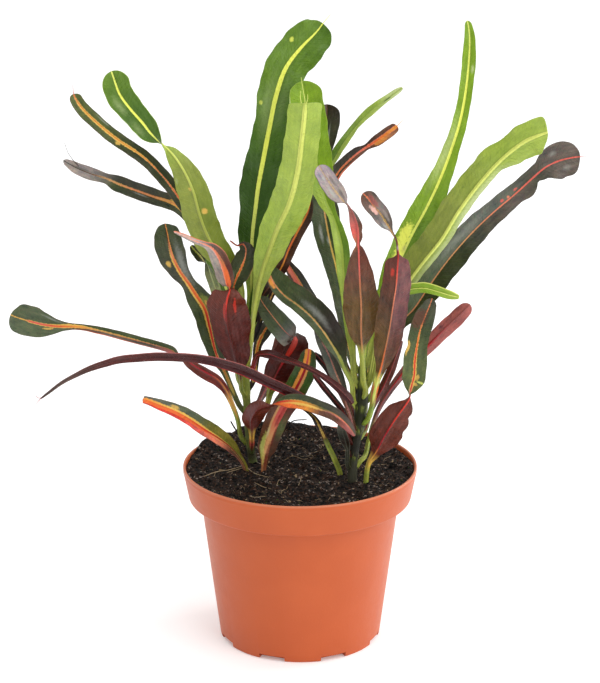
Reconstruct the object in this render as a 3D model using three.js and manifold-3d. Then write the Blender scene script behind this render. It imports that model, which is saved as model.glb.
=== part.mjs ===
// Potted croton: two stems of a narrow-leaved croton in a terracotta-coloured nursery pot.
// Millimetres, +Z up. The origin is the middle of the pot's base, on the surface that it stands on.
import * as THREE from "three";
import { mergeVertices } from "three/addons/utils/BufferGeometryUtils.js";
import Module from "manifold-3d";

// Pot
const POT_HEIGHT = 100;
const BASE_RADIUS = 45;
const NECK_RADIUS = 55.4;
const RIM_BAND_HEIGHT = 18.5;
const BAND_FOOT_RADIUS = 61.8;
const RIM_RADIUS = 65;
const WALL = 1.8;
const FLOOR = 4;
const POT_SIDES = 56;
const EDGE_ROUND = 0.8;
const FOOT_COUNT = 8;
const NOTCH_HEIGHT = 3;
const NOTCH_WIDTH = 15;
const NOTCH_DEPTH = 5;
const FRONT_FOOT_TURN = THREE.MathUtils.degToRad(2);

// Soil
const CLEARANCE = 0.3;
const SOIL_LEVEL = 97;
const SOIL_CROWN = 2;
const SOIL_RINGS = 9;
const HEAP = { height: 5.6, x: -22, y: 56, spreadX: 24, spreadY: 8 };
const ROOT_DEPTH = 8;
const STEM_DEPTH = 25;
const LEAF_HOLE_RADIUS = 2.6;
const HOLE_SIDES = 12;

// Stems
const STEM_STEPS = 30;
const STEM_SIDES = 10;
const KNOT_SWELL = 0.25;
const KNOT_SPREAD = 0.025;
const STEM_HOLE_GAP = 0.1;
const HIGHEST_SOCKET = 0.985;

// Leaves
const BLADE_THICKNESS = 0.7;
const STALK_RIB = 1.7;
const TIP_RIB = 0.4;
const GUTTER = THREE.MathUtils.degToRad(13);
const WAVE_LENGTH = 27;
const WAVE_HEIGHT = 0.11;
const WAVE_LAG = 2.2;
const STATION_STEP = 11;
const SOCKET_GAP = 0.35;
const SOCKET_OUT = 2.4;
const SOCKET_UP = 0.9;

// The viewer's eye: leaves are placed by where they are seen from here, in millimetres across and up
// from the middle of the rim, and by how far behind the pot's axis they lie.
const RIM_CENTRE = new THREE.Vector3(0, 0, POT_HEIGHT);
const EYE_DISTANCE = 1300;
const EYE_ELEVATION = THREE.MathUtils.degToRad(20.5);
const GAZE_DROP = THREE.MathUtils.degToRad(17.5);
const EYE = new THREE.Vector3(0, -Math.cos(EYE_ELEVATION), Math.sin(EYE_ELEVATION))
  .multiplyScalar(EYE_DISTANCE)
  .add(RIM_CENTRE);
const GAZE_UP = new THREE.Vector3(0, Math.sin(GAZE_DROP), Math.cos(GAZE_DROP));

function seen(across, up, back) {
  const ray = RIM_CENTRE.clone().addScaledVector(GAZE_UP, up).sub(EYE);
  ray.x += across;
  return EYE.clone().addScaledVector(ray, (back - EYE.y) / ray.y);
}

// Each stem's path is [across, up, back]; the first point is where it leaves the soil.
const STEMS = {
  left: {
    path: [[-26, 0.5, 4], [-28, 13, 5], [-29.5, 33, 6], [-30, 46, 7], [-29, 68, 8], [-28.5, 80, 8]],
    girth: [2.6, 2.5, 2.4, 2.4, 2.2, 1.8],
    knots: [0.16, 0.36, 0.5, 0.66, 0.82],
    colour: 0x5f7a2c,
  },
  right: {
    path: [[29, -8.4, -21], [30, 5.5, -20], [32, 18, -19], [34, 31, -17], [35, 45, -15], [34.5, 58, -14]],
    girth: [2.8, 2.7, 3.2, 3.7, 3.2, 2],
    knots: [0.2, 0.42, 0.6, 0.8],
    colour: 0x3a3324,
  },
};

// Leaves. A row is [across, up, back, width, turn]: turn 0 shows the viewer the upper side, 180 the
// underside and 90 the edge. on: [stem, share of its length, compass angle] or root: [x, y] says where
// the leaf starts. The kind sets its colours.
const LEAVES = {
  leaf_tall_centre: {
    kind: "fresh", on: ["left", 1, 100],
    rows: [
      [-27.5, 94, 12, 4, 0], [-27, 108, 14, 9, 0], [-26.5, 127, 17, 16, 0], [-24.5, 144, 20, 18, 0],
      [-23.4, 153, 22, 21, 0], [-20.6, 172, 27, 17, 0], [-17.8, 188, 31, 15, 0], [-13.5, 204, 36, 21, -4],
      [-8, 220, 41, 24, -8], [1, 232, 45, 24, -10], [7.5, 238.5, 47, 19, -10], [11, 242.5, 48, 10, -6],
      [12.8, 245, 48, 1.2, 0], [17, 250, 49, 0.9, 0],
    ],
  },
  leaf_front_pale: {
    kind: "fresh", on: ["left", 0.72, 285],
    rows: [
      [-26.2, 79.7, -3, 3, 180], [-23.4, 96, -7, 5, 180], [-20, 112, -12, 11, 180],
      [-14.5, 128, -17, 16, 180], [-6.7, 144, -23, 18.5, 180], [-1.1, 163, -29, 18, 180],
      [1, 180, -33, 18, 180], [2.2, 191, -35, 17.5, 180], [2.8, 199, -36, 15, 180],
      [2.6, 203, -36, 5, 180], [1.7, 208, -35, 1, 180], [0.6, 215, -34, 0.9, 180],
    ],
  },
  leaf_left_spoon: {
    kind: "fresh", on: ["left", 0.93, 190],
    rows: [
      [-33.4, 97, 5, 5, 180], [-40, 110, 2, 12, 180], [-50, 124, -1, 17, 180], [-55.7, 138, -4, 18, 180],
      [-59.6, 152, -6, 17, 180], [-64.6, 163, -8, 13, 180], [-70.7, 172, -10, 8, 170],
      [-76.9, 177.7, -12, 3.5, 90], [-83.5, 184.4, -14, 10, 15], [-87.4, 189.4, -15, 13, 0],
      [-94.7, 197.7, -18, 13.5, 0], [-100.3, 205.5, -20, 14.5, 0], [-102.8, 212, -22, 13, 0],
      [-104.3, 216.5, -23, 8, 0], [-105, 218.4, -23, 1, 0],
    ],
  },
  leaf_left_amber: {
    kind: "dark", on: ["left", 0.9, 150],
    rows: [
      [-36, 97, 13, 4, 0], [-52, 126, 18, 6, 0], [-66, 146, 22, 7, 0], [-75.5, 159, 26, 8, 0],
      [-87, 170.5, 30, 8, 0], [-103, 181.5, 35, 8, 0], [-116.5, 193, 39, 8, 0], [-122.5, 199.5, 41, 7, 0],
      [-125.5, 204.5, 42, 2, 0], [-126.4, 210.5, 42, 0.9, 0],
    ],
  },
  leaf_left_pale_tip: {
    kind: "dark", on: ["left", 0.83, 135],
    rows: [
      [-35, 92, 19, 4, 0], [-50, 120, 30, 6, 0], [-66.8, 142.6, 37, 8, 0], [-83.5, 149.3, 42, 9.5, 0],
      [-100.3, 155.4, 46, 9.5, 0], [-117, 161.5, 50, 7.5, 0], [-125.3, 165.4, 52, 5, 0],
      [-130.9, 168.5, 53, 1, 0],
    ],
  },
  leaf_left_dark_spoon: {
    kind: "dark", on: ["left", 0.38, 185],
    rows: [
      [-37.9, 41.8, 6, 3.2, 0], [-41.8, 50.7, 5, 4, 0], [-46.8, 61.8, 4, 9, 0], [-50, 75, 4, 13, 0],
      [-53, 86.3, 4, 14.5, 0], [-58, 94, 5, 12, 0], [-62.4, 100.8, 6, 8, 0], [-66.8, 107, 7, 11, 0],
      [-71, 115.3, 8, 15.5, 0], [-73, 122.5, 8, 16, 0], [-74.2, 128.7, 8, 13, 0], [-75, 132, 8, 7, 0],
      [-75.2, 133.6, 8, 1, 0],
    ],
  },
  leaf_left_folded: {
    kind: "wine", on: ["left", 0.5, 235],
    rows: [
      [-33.4, 51, -2, 4, 180], [-35.6, 58.5, -4, 14, 180], [-38.4, 68.5, -6, 20, 180],
      [-40.7, 78.5, -8, 22, 180], [-41.2, 86.3, -10, 20, 180], [-40.7, 92.5, -12, 12, 180],
      [-39.6, 96.5, -13, 3, 90], [-40.9, 100.5, -14, 8, 20], [-44.6, 108.6, -16, 11, 0],
      [-50.1, 116.4, -18, 9, 0], [-55.7, 121.4, -20, 6, 0], [-62.4, 125.3, -21, 4.5, 0],
      [-70.2, 129.2, -22, 0.9, 0],
    ],
  },
  leaf_left_hood: {
    kind: "dark", on: ["left", 0.8, 230],
    rows: [
      [-33.5, 87, 1, 3, 0], [-37, 96.4, 0, 5, 0], [-35.6, 103, -2, 9, 0], [-32.9, 109.2, -4, 11, 0],
      [-30.6, 115.3, -5, 10, 0], [-30.2, 119.5, -6, 7, 0], [-31.8, 122, -6, 2.5, 0],
      [-35.6, 122.6, -6, 1, 0], [-39.5, 125.3, -6, 0.9, 0],
    ],
  },
  leaf_left_slim: {
    kind: "dark", on: ["left", 0.56, 195],
    rows: [
      [-36, 74, 6, 3, 180], [-44.6, 90.8, 9, 6, 180], [-49, 103, 10, 6, 170], [-52.5, 111.5, 9, 5.5, 90],
      [-55, 115, 9, 6, 20], [-58.5, 118.6, 8, 5, 0], [-60.7, 121.4, 8, 1, 0],
    ],
  },
  leaf_centre_green: {
    kind: "fresh", on: ["right", 0.8, 200],
    rows: [
      [29, 63, -15, 3, 0], [27, 72, -13, 3.2, 0], [25.3, 86, -11.5, 3.4, 0], [24.4, 98, -10, 5, 0],
      [23.4, 110, -8, 8.5, 0], [22, 120, -6, 10, 0], [20, 130, -3, 9, 0], [17.8, 139, 0, 7.5, 0],
      [14.4, 148, 3, 12, 0], [11, 160, 7, 16, 0], [7.5, 178, 12, 18, 0], [4.5, 196, 17, 19, 0],
      [3, 205, 19, 14, 0], [2, 210, 20, 6, 0], [1.5, 213, 20, 1, 0],
    ],
  },
  leaf_centre_dark: {
    kind: "dark", on: ["right", 0.92, 165],
    rows: [
      [29.2, 69, -9, 3, 0], [26.4, 78, -6, 5, 0], [24.2, 88, -2, 8, 0], [22.2, 100, 2, 11, 0],
      [19.5, 112, 6, 13, 0], [16.5, 124, 10, 15, 0], [14, 138, 14, 16, 0], [12.3, 149, 17, 15, 0],
      [11.8, 160, 20, 12, 0], [12.4, 171, 23, 9, 0], [13.6, 180, 25, 12, 0], [14.6, 189, 27, 15, 0],
      [15, 195, 28, 13, 0], [15, 198.5, 28, 7, 0], [15, 200, 28, 1, 0],
    ],
  },
  leaf_far_green: {
    kind: "fresh", on: ["left", 0.94, 62],
    rows: [
      [-24, 90, 21, 3, 40], [-17.8, 104.7, 29, 5, 50], [-5.6, 128.7, 38, 7, 55], [8.4, 152, 46, 8, 55],
      [18.3, 168, 51, 9, 50], [25, 179.3, 55, 9, 50], [34.5, 191, 59, 9, 50], [45, 200.5, 62, 8, 45],
      [51.8, 205.3, 64, 6, 40], [57, 209.2, 65, 1, 0],
    ],
  },
  leaf_far_amber: {
    kind: "dark", on: ["left", 0.85, 28],
    rows: [
      [-20.5, 83, 13, 3, 0], [-15, 95, 18, 4, 0], [-8.4, 112, 26, 6, 0], [5.6, 137, 33, 7, 0],
      [16, 153.2, 37, 7, 0], [22.3, 163.5, 40, 7, 0], [31.7, 172.5, 43, 6, 0], [36.8, 176, 45, 3, 0],
      [43.4, 180.3, 46, 6.5, 0], [49, 184.2, 47, 6.5, 0], [54, 188, 48, 2, 0], [57.4, 191.6, 48, 0.8, 0],
    ],
  },
  leaf_right_twisted: {
    kind: "olive", on: ["right", 0.72, 285],
    rows: [
      [35.3, 46, -23, 3.2, 180], [35, 54.6, -26, 3.2, 180], [34.5, 64.6, -29, 5, 180],
      [34, 74, -32, 15, 180], [34, 88, -35, 20, 180], [33.4, 99, -37, 17, 180],
      [32.9, 110.3, -39, 12, 180], [32.6, 118.6, -40, 6, 180], [32.3, 122, -41, 2, 170],
      [32.3, 127, -41, 6, 160], [31.7, 132.6, -42, 7, 150], [29, 139.8, -43, 6, 125],
      [25.6, 144.8, -44, 3, 85], [22.8, 147.6, -45, 6, 40], [19.5, 152, -46, 9, 10],
      [15.6, 157.6, -47, 9, 0], [12.3, 162.6, -48, 7, 0], [10.6, 166, -48, 1, 0],
    ],
  },
  leaf_right_threaded: {
    kind: "plum", on: ["right", 0.5, 330],
    rows: [
      [41.5, 40, -24, 3.4, 180], [43, 46.5, -28, 3.6, 180], [45, 53, -32, 6, 180],
      [47.3, 63, -36, 13, 180], [49.6, 74, -40, 16, 180], [51.8, 88, -44, 16, 180],
      [53.5, 99, -47, 15.5, 180], [54.2, 108.6, -49, 13, 180], [54.6, 113.5, -50, 8, 180],
      [54.5, 116.5, -50, 1.4, 150], [53.2, 124.2, -51, 1.2, 90], [50.7, 129.8, -51, 2, 40],
      [47.9, 134.2, -51, 7, 10], [44.6, 139.3, -51, 9, 0], [40.7, 143.7, -51, 9, 0],
      [37.9, 147.6, -50, 7, 0], [35, 150.5, -50, 1, 0],
    ],
  },
  leaf_tall_right: {
    kind: "fresh", on: ["right", 0.93, 45],
    rows: [
      [41, 70, -6, 3, 0], [44.5, 88, -1, 5, 0], [50, 102, 3, 12, 0], [56, 114, 7, 16, 0],
      [62.6, 128, 11, 16.5, 0], [71, 143.5, 15, 16, 0], [77.6, 158.5, 19, 14, 0], [83.6, 175, 23, 11, 0],
      [88.4, 190.5, 27, 9.5, 0], [91.6, 206, 31, 9, 0], [93.6, 222, 34, 8.5, 0],
      [94.4, 236, 36, 6.5, 0], [93.8, 243, 37, 4, 0], [93, 246.5, 37, 0.9, 0],
    ],
  },
  leaf_right_pale: {
    kind: "fresh", on: ["right", 0.86, 345],
    rows: [
      [42.5, 68.5, -14, 3, 180], [51.8, 86, -17, 6, 180], [58, 97, -20, 11, 180],
      [63.3, 105, -22, 15, 180], [69, 112.5, -25, 15.5, 180], [79, 125, -30, 15.5, 180],
      [88, 139.7, -35, 15.5, 180], [99, 154.7, -41, 15, 180], [110.4, 167.5, -48, 15.5, 180],
      [119, 175, -53, 16.5, 180], [126.5, 180, -57, 18.5, 180], [132.5, 182.5, -60, 18, 180],
      [136, 183.8, -61, 12, 180], [137.8, 184.4, -62, 1, 180],
    ],
  },
  leaf_right_long_dark: {
    kind: "dark", on: ["right", 0.68, 15],
    rows: [
      [46, 62, -11, 3, 0], [55.7, 78.5, -9, 8, 0], [63, 85.8, -7, 12, 0], [73, 100.5, -4, 16, 0],
      [83.2, 114.3, -1, 17, 0], [96, 128.8, 3, 15, 0], [107, 139.3, 6, 13, 0], [121, 151.2, 10, 12, 0],
      [129.7, 159.2, 13, 12, 0], [136, 164.6, 15, 17, 0], [143.2, 168.2, 17, 20, 0],
      [149.3, 169.9, 18, 18.5, 0], [153.6, 170.6, 19, 12, 0], [155.8, 170.8, 19, 1.4, 0],
      [160.4, 170.6, 19, 0.9, 0],
    ],
  },
  leaf_right_bright: {
    kind: "fresh", on: ["right", 0.79, 318],
    rows: [
      [44.6, 74, -22, 3, 30], [52, 90, -27, 5, 30], [57.4, 95.6, -30, 6, 30], [63, 97.2, -32, 6.8, 30],
      [69.6, 97.5, -34, 6.8, 30], [76.3, 95.8, -36, 6, 30], [83.5, 93.6, -38, 5, 30],
      [88.6, 92.5, -39, 2, 30],
    ],
  },
  leaf_front_waisted: {
    kind: "wine", root: [36, -25],
    rows: [
      [38.2, 0, -27, 2.8, 180], [42, 6, -30, 6, 180], [46, 13.4, -33, 17, 180],
      [49.9, 20, -36, 17.5, 180], [54.6, 27, -39, 14, 180], [58, 31.4, -41, 9, 180],
      [60.7, 36.8, -43, 2.5, 90], [61.8, 41.8, -44, 8, 10], [63.5, 49, -45, 13, 0],
      [64, 57.4, -46, 13, 0], [65.2, 65.7, -47, 11.5, 0], [66.8, 74, -48, 11.5, 0],
      [69.6, 81.9, -49, 11, 0], [71.9, 87.4, -50, 8, 0], [73.5, 91.9, -50, 1, 0],
    ],
  },
  leaf_right_rose: {
    kind: "wine", on: ["right", 0.12, 20],
    rows: [
      [36.2, 4.5, -15, 2.6, 180], [38.2, 12.8, -13, 2.6, 180], [40.5, 21.7, -12, 2.6, 180],
      [43.8, 30.6, -11, 3, 180], [49, 39.5, -10, 4, 180], [57.4, 50.7, -9, 5, 180],
      [64, 58.5, -9, 6.5, 180], [71.3, 65.7, -9, 8, 180], [81.9, 76.3, -10, 9, 180],
      [87.4, 81.3, -11, 9, 180], [91.3, 85.2, -12, 8, 180], [94.7, 88.6, -12, 1, 180],
    ],
  },
  leaf_right_purple: {
    kind: "wine", on: ["right", 0.26, 75],
    rows: [
      [36.5, 19, -9, 2.6, 180], [38.5, 27.5, -4, 3, 180], [41.8, 35, -1, 4, 180], [45.7, 41.8, 0, 5, 180],
      [50, 50.7, 1, 5, 180], [53.5, 60.2, 1, 4, 180], [56.8, 68.5, 1, 1, 180],
    ],
  },
  leaf_low_grey: {
    kind: "dark", on: ["right", 0.1, 225],
    rows: [
      [26.5, 7.5, -27, 2.4, 20], [24.7, 14.5, -29, 6, 30], [23.3, 19, -31, 5, 30],
      [22.3, 23.5, -32, 1, 30],
    ],
  },
  leaf_front_crossing: {
    kind: "ember", on: ["left", 0.1, 285],
    rows: [
      [-26.7, 13.9, -3, 3, 180], [-26.7, 18.4, -5, 4, 180], [-26.7, 25, -8, 12, 180],
      [-24, 29.5, -11, 11, 180], [-20, 31.7, -14, 7, 170], [-15.6, 32.9, -17, 2.5, 95],
      [-10.6, 34.5, -20, 5, 20], [-4.5, 35, -23, 8, 0], [2.8, 34, -26, 8.5, 0], [11, 31.2, -29, 8, 0],
      [19.5, 27.3, -32, 7.5, 0], [26.2, 21.7, -35, 6, 0], [30.6, 15.6, -36, 1, 0],
    ],
  },
  leaf_front_salmon: {
    kind: "ember", root: [-20, -8.5],
    rows: [
      [-19.3, 4.5, -8.5, 6, 0], [-18.4, 9, -8, 10.5, 0], [-15.6, 18.4, -8, 12, 0],
      [-11.7, 27.3, -9, 12.5, 0], [-7.8, 34, -9, 13, 0], [-3.3, 40, -9, 13, 0], [0.6, 47.3, -8, 13, 0],
      [3.3, 54, -7, 11, 0], [4.5, 59.6, -6, 7, 0], [5, 64, -5, 1, 0],
    ],
  },
  leaf_mid_folded: {
    kind: "wine", on: ["left", 0.26, 25],
    rows: [
      [-22.5, 27, 8, 2.8, 180], [-18.4, 33, 9, 3, 180], [-16.7, 40, 8, 4, 180], [-14, 47.9, 6, 14, 180],
      [-9.5, 56.3, 5, 17, 180], [-6, 63, 4, 15, 180], [-4, 67.4, 2, 10, 180], [-4.6, 70, 1, 4, 90],
      [-7.8, 73, 1, 11, 0], [-11.7, 78, 2, 13, 0], [-16.7, 84, 2, 11, 0], [-20.2, 88, 2, 6, 0],
      [-22.2, 90.5, 2, 1, 0],
    ],
  },
  leaf_low_strap: {
    kind: "wine", on: ["right", 0.22, 205],
    rows: [
      [22.3, 23, -22, 3, 180], [13.9, 29, -18, 4, 180], [5.6, 33.5, -16, 6, 180],
      [-2.2, 38.2, -16, 7, 180], [-9.5, 41.8, -17, 7.5, 180], [-16.7, 45, -18, 7.5, 180],
      [-25, 49, -19, 8, 180], [-33.4, 52.9, -21, 8.5, 180], [-44.6, 56.3, -24, 8.5, 180],
      [-55.7, 58.5, -28, 8.3, 180], [-66.8, 59, -32, 7.5, 180], [-78, 59.6, -37, 6, 180],
      [-89, 59, -42, 5, 180], [-100.3, 57.9, -46, 4.2, 180], [-108.6, 55.7, -49, 3.8, 180],
      [-117, 52.9, -51, 3.3, 180], [-125.3, 49, -53, 2.8, 180], [-132.6, 45, -54, 2.2, 180],
      [-139.3, 40, -55, 1.6, 180], [-144.3, 36.2, -56, 0.9, 180],
    ],
  },
  leaf_mid_red: {
    kind: "wine", on: ["left", 0.64, 325],
    rows: [
      [-21.5, 61.5, 0, 6, 175], [-11, 59, -7, 4.5, 170], [-2.8, 56.3, -14, 3.5, 170],
      [5.6, 52.9, -19, 3.5, 170], [13.9, 47.9, -24, 4, 170], [21.2, 42.3, -28, 5, 170],
      [26.2, 37.3, -30, 5, 170], [29.5, 33.4, -31, 1, 170],
    ],
  },
  leaf_mid_dark: {
    kind: "wine", on: ["right", 0.32, 190],
    rows: [
      [25, 27.5, -15, 3.2, 180], [19.5, 35, -13, 3.5, 180], [13.9, 41.8, -12, 3.5, 180],
      [9.8, 46.9, -13, 3, 180], [7.2, 49.8, -13, 1, 180],
    ],
  },
  leaf_mid_black: {
    kind: "wine", on: ["right", 0.5, 130],
    rows: [
      [27, 34, -8, 3, 180], [22.3, 40.7, -6, 4, 180], [15.6, 52.9, -4, 4.5, 180], [11, 58.5, -3, 4, 180],
      [7.8, 61.8, -2, 1, 180],
    ],
  },
  leaf_mid_grey: {
    kind: "dark", on: ["right", 0.42, 235],
    rows: [
      [27.9, 27.5, -23, 2.8, 10], [25.6, 34, -21, 3.5, 10], [22.8, 43.4, -18, 6.5, 10],
      [19.5, 51.8, -16, 7.5, 10], [16.2, 60.2, -13, 7.5, 10], [12.3, 68, -10, 6, 10],
      [8.4, 76.3, -8, 1, 10],
    ],
  },
  leaf_mid_glossy: {
    kind: "dark", on: ["right", 0.62, 205],
    rows: [
      [28.5, 45, -21, 3, 0], [25.2, 51.8, -20.5, 3.2, 0], [23.2, 59, -20, 6, 0], [20, 67.5, -18, 12, 0],
      [15, 76.2, -16, 14, 0], [8.4, 84.2, -13, 14.5, 0], [0.8, 90.8, -10, 14, 0], [-6.7, 96, -6, 13, 0],
      [-12.3, 101.4, -3, 12, 0], [-16.2, 107, -2, 8, 0], [-17.3, 110.3, -1, 2, 0],
    ],
  },
  leaf_mid_pink: {
    kind: "dark", on: ["right", 0.7, 150],
    rows: [
      [26.5, 52.5, -5, 3, 0], [19.5, 65.7, 1, 5, 0], [11, 80.8, 5, 8, 0], [4.5, 91.9, 8, 9, 0],
      [-1.1, 102, 10, 8.5, 0], [-5.6, 109.2, 11, 6, 0], [-9.5, 115.3, 11, 1, 0],
    ],
  },
  leaf_mid_orange_edge: {
    kind: "dark", on: ["left", 0.98, 350],
    rows: [
      [-21.2, 93.6, 7, 4, 0], [-16.7, 100.3, 5, 8, 0], [-12.3, 110.3, 4, 10, 0], [-8.4, 119.8, 2, 10, 0],
      [-3.3, 129.8, -2, 10, 0], [2.2, 139.8, -6, 8, 0], [6.1, 147.6, -10, 4, 0], [8.4, 152, -12, 1, 0],
    ],
  },
  leaf_mid_small: {
    kind: "dark", on: ["left", 0.54, 20],
    rows: [
      [-23.4, 66, 12, 5, 0], [-20, 73.5, 16, 8, 0], [-16.7, 78.5, 17, 6, 0], [-13.4, 83, 18, 1, 0],
    ],
  },
  leaf_low_spoon: {
    kind: "ember", on: ["left", 0.16, 180],
    rows: [
      [-34.5, 24.5, 3, 2.8, 180], [-37.3, 32.3, -1, 3, 180], [-41, 40.7, -4, 4.5, 180],
      [-45.7, 46.8, -5, 7, 180], [-53, 51.2, -5, 7.5, 180], [-59.6, 55, -4, 6, 175],
      [-65.7, 59, -2, 4, 90], [-71.3, 63, 1, 5, 10], [-78, 65.2, 5, 5, 0], [-94.7, 69.6, 9, 5.3, 0],
      [-111.4, 74, 13, 4.5, 0], [-119.8, 75.8, 15, 3, 0], [-124.8, 76.3, 16, 2.4, 0],
      [-130.3, 76.6, 17, 9, 0], [-139.3, 77.2, 19, 14, 0], [-147.6, 78.8, 20, 16, 0],
      [-154, 80.6, 21, 14, 0], [-158.8, 82.2, 22, 8, 0], [-161, 83.2, 22, 1, 0],
    ],
  },
  leaf_low_cut: {
    kind: "ember", root: [-30, -8.5],
    rows: [
      [-33.5, 3.5, -10, 3.4, 0], [-39, 9.5, -13, 7, 0], [-45.7, 14.5, -17, 9.5, 0],
      [-53, 19, -22, 9.5, 0], [-61.3, 24.5, -27, 9, 0], [-69.6, 29, -32, 8, 0], [-78, 32.3, -36, 6.5, 0],
      [-83.5, 34.5, -39, 5, 0], [-87.4, 35.6, -41, 3, 0],
    ],
  },
  leaf_low_edge_on: {
    kind: "dark", root: [22, -14],
    rows: [
      [19, 3, -15, 2.8, 80], [16.7, 8, -15, 2.8, 80], [13.4, 15, -15, 3.2, 80], [10, 23.4, -15, 5.5, 80],
      [5.6, 28.4, -15, 4.5, 80], [0, 31.7, -15.5, 1, 80],
    ],
  },
  leaf_back_centre: {
    kind: "fresh", on: ["left", 0.76, 95],
    rows: [
      [-26, 78, 22, 4, 0], [-20, 100, 40, 10, 0], [-14, 122, 56, 14, 0], [-6, 142, 70, 15, 0],
      [0, 158, 82, 13, 0], [2, 170, 92, 8, 0], [2, 178, 98, 1, 0],
    ],
  },
  leaf_back_left: {
    kind: "dark", on: ["left", 0.45, 110],
    rows: [
      [-32, 50, 16, 3, 0], [-36, 62, 30, 8, 0], [-39, 72, 46, 13, 0], [-41, 81, 62, 14, 0],
      [-42, 87, 78, 9, 0], [-41, 90, 90, 1, 0],
    ],
  },
  leaf_back_left_high: {
    kind: "fresh", on: ["left", 0.68, 120],
    rows: [
      [-33, 74, 24, 4, 0], [-42, 100, 46, 9, 0], [-51, 123, 60, 12, 0], [-57, 142, 70, 12, 0],
      [-63, 156, 80, 8, 0], [-67, 164, 86, 1, 0],
    ],
  },
  leaf_back_right: {
    kind: "dark", on: ["right", 0.55, 85],
    rows: [
      [36, 44, -2, 3, 0], [38, 58, 16, 7, 0], [40, 70, 34, 11, 0], [45, 83, 52, 13, 0],
      [50, 94, 68, 12, 0], [52, 102, 82, 7, 0], [53, 106, 92, 1, 0],
    ],
  },
  leaf_back_right_high: {
    kind: "fresh", on: ["right", 0.88, 95],
    rows: [
      [37, 68, 2, 4, 0], [46, 94, 22, 8, 0], [60, 116, 42, 12, 0], [72, 132, 58, 13, 0],
      [84, 143, 72, 11, 0], [92, 149, 82, 6, 0], [96, 151, 88, 1, 0],
    ],
  },
  leaf_back_middle: {
    kind: "dark", on: ["right", 0.65, 120],
    rows: [
      [30.5, 50, -2, 3, 0], [27, 68, 16, 7, 0], [25, 86, 34, 11, 0], [22, 104, 50, 13, 0],
      [18, 120, 64, 12, 0], [15, 132, 76, 7, 0], [13, 138, 84, 1, 0],
    ],
  },
  leaf_back_low: {
    kind: "wine", on: ["left", 0.3, 95],
    rows: [
      [-24, 33, 15, 3, 180], [-18, 44, 28, 6, 180], [-13, 56, 40, 10, 180], [-10, 67, 51, 10, 180],
      [-9, 77, 60, 6, 180], [-10, 83, 65, 1, 180],
    ],
  },
};

const LEAF_COLOURS = {
  fresh: 0x7c9a35,
  dark: 0x33442a,
  ember: 0x8a6a2c,
  wine: 0x5e2624,
  olive: 0x6a5628,
  plum: 0x774a3e,
};

const wasm = await Module();
wasm.setup();

function solidOf(geometry) {
  const bare = geometry.clone();
  bare.deleteAttribute("normal");
  bare.deleteAttribute("uv");
  const merged = mergeVertices(bare, 1e-4);
  return new wasm.Manifold(
    new wasm.Mesh({
      numProp: 3,
      vertProperties: new Float32Array(merged.attributes.position.array),
      triVerts: new Uint32Array(merged.index.array),
    }),
  );
}

function geometryOf(solid) {
  const mesh = solid.getMesh();
  const geometry = new THREE.BufferGeometry();
  geometry.setAttribute("position", new THREE.BufferAttribute(mesh.vertProperties, 3));
  geometry.setIndex(new THREE.BufferAttribute(mesh.triVerts, 1));
  geometry.computeVertexNormals();
  return geometry;
}

function meshGeometry(points, faces) {
  const geometry = new THREE.BufferGeometry().setFromPoints(points);
  geometry.setIndex(faces);
  geometry.computeVertexNormals();
  return geometry;
}

// A vertical cylinder between two heights: the cutting tool for a hole in the soil.
function verticalPin(x, y, radius, low, high) {
  const pin = new THREE.CylinderGeometry(radius, radius, high - low, HOLE_SIDES);
  pin.rotateX(Math.PI / 2);
  return pin.translate(x, y, (low + high) / 2);
}

function lathe(outline, sides) {
  const profile = outline.map(([radius, height]) => new THREE.Vector2(radius, height));
  return new THREE.LatheGeometry(profile, sides).rotateX(Math.PI / 2);
}

function potGeometry() {
  const ledge = POT_HEIGHT - RIM_BAND_HEIGHT;
  let pot = solidOf(
    lathe(
      [
        [0, 0],
        [BASE_RADIUS - EDGE_ROUND, 0],
        [BASE_RADIUS, EDGE_ROUND],
        [NECK_RADIUS, ledge],
        [BAND_FOOT_RADIUS - EDGE_ROUND, ledge],
        [BAND_FOOT_RADIUS, ledge + EDGE_ROUND],
        [RIM_RADIUS, POT_HEIGHT - EDGE_ROUND],
        [RIM_RADIUS - EDGE_ROUND / 2, POT_HEIGHT],
        [RIM_RADIUS - WALL + EDGE_ROUND / 2, POT_HEIGHT],
        [RIM_RADIUS - WALL, POT_HEIGHT - EDGE_ROUND / 2],
        [BAND_FOOT_RADIUS - WALL, ledge + WALL],
        [NECK_RADIUS - WALL, ledge + WALL],
        [BASE_RADIUS - WALL, FLOOR],
        [0, FLOOR],
      ],
      POT_SIDES,
    ),
  );
  for (let k = 0; k < FOOT_COUNT; k++) {
    const angle = FRONT_FOOT_TURN + ((k + 0.5) * 2 * Math.PI) / FOOT_COUNT;
    const notch = new THREE.BoxGeometry(2 * NOTCH_DEPTH, NOTCH_WIDTH, 2 * NOTCH_HEIGHT);
    notch.translate(BASE_RADIUS, 0, 0).rotateZ(angle - Math.PI / 2);
    pot = pot.subtract(solidOf(notch));
  }
  return geometryOf(pot);
}

// Height of the soil: a low crown, soft lumps and a heap against the back wall.
function soilTop(x, y) {
  const reach = Math.hypot(x, y) / RIM_RADIUS;
  const lumps = 0.7 * Math.sin(0.21 * x + 1) * Math.cos(0.17 * y) + 0.45 * Math.sin(0.47 * x + 0.33 * y);
  const fromHeap = Math.hypot((x - HEAP.x) / HEAP.spreadX, (y - HEAP.y) / HEAP.spreadY);
  const heap = HEAP.height * Math.exp((-fromHeap * fromHeap) / 2);
  return SOIL_LEVEL + SOIL_CROWN * (1 - reach * reach) + lumps + heap;
}

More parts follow.
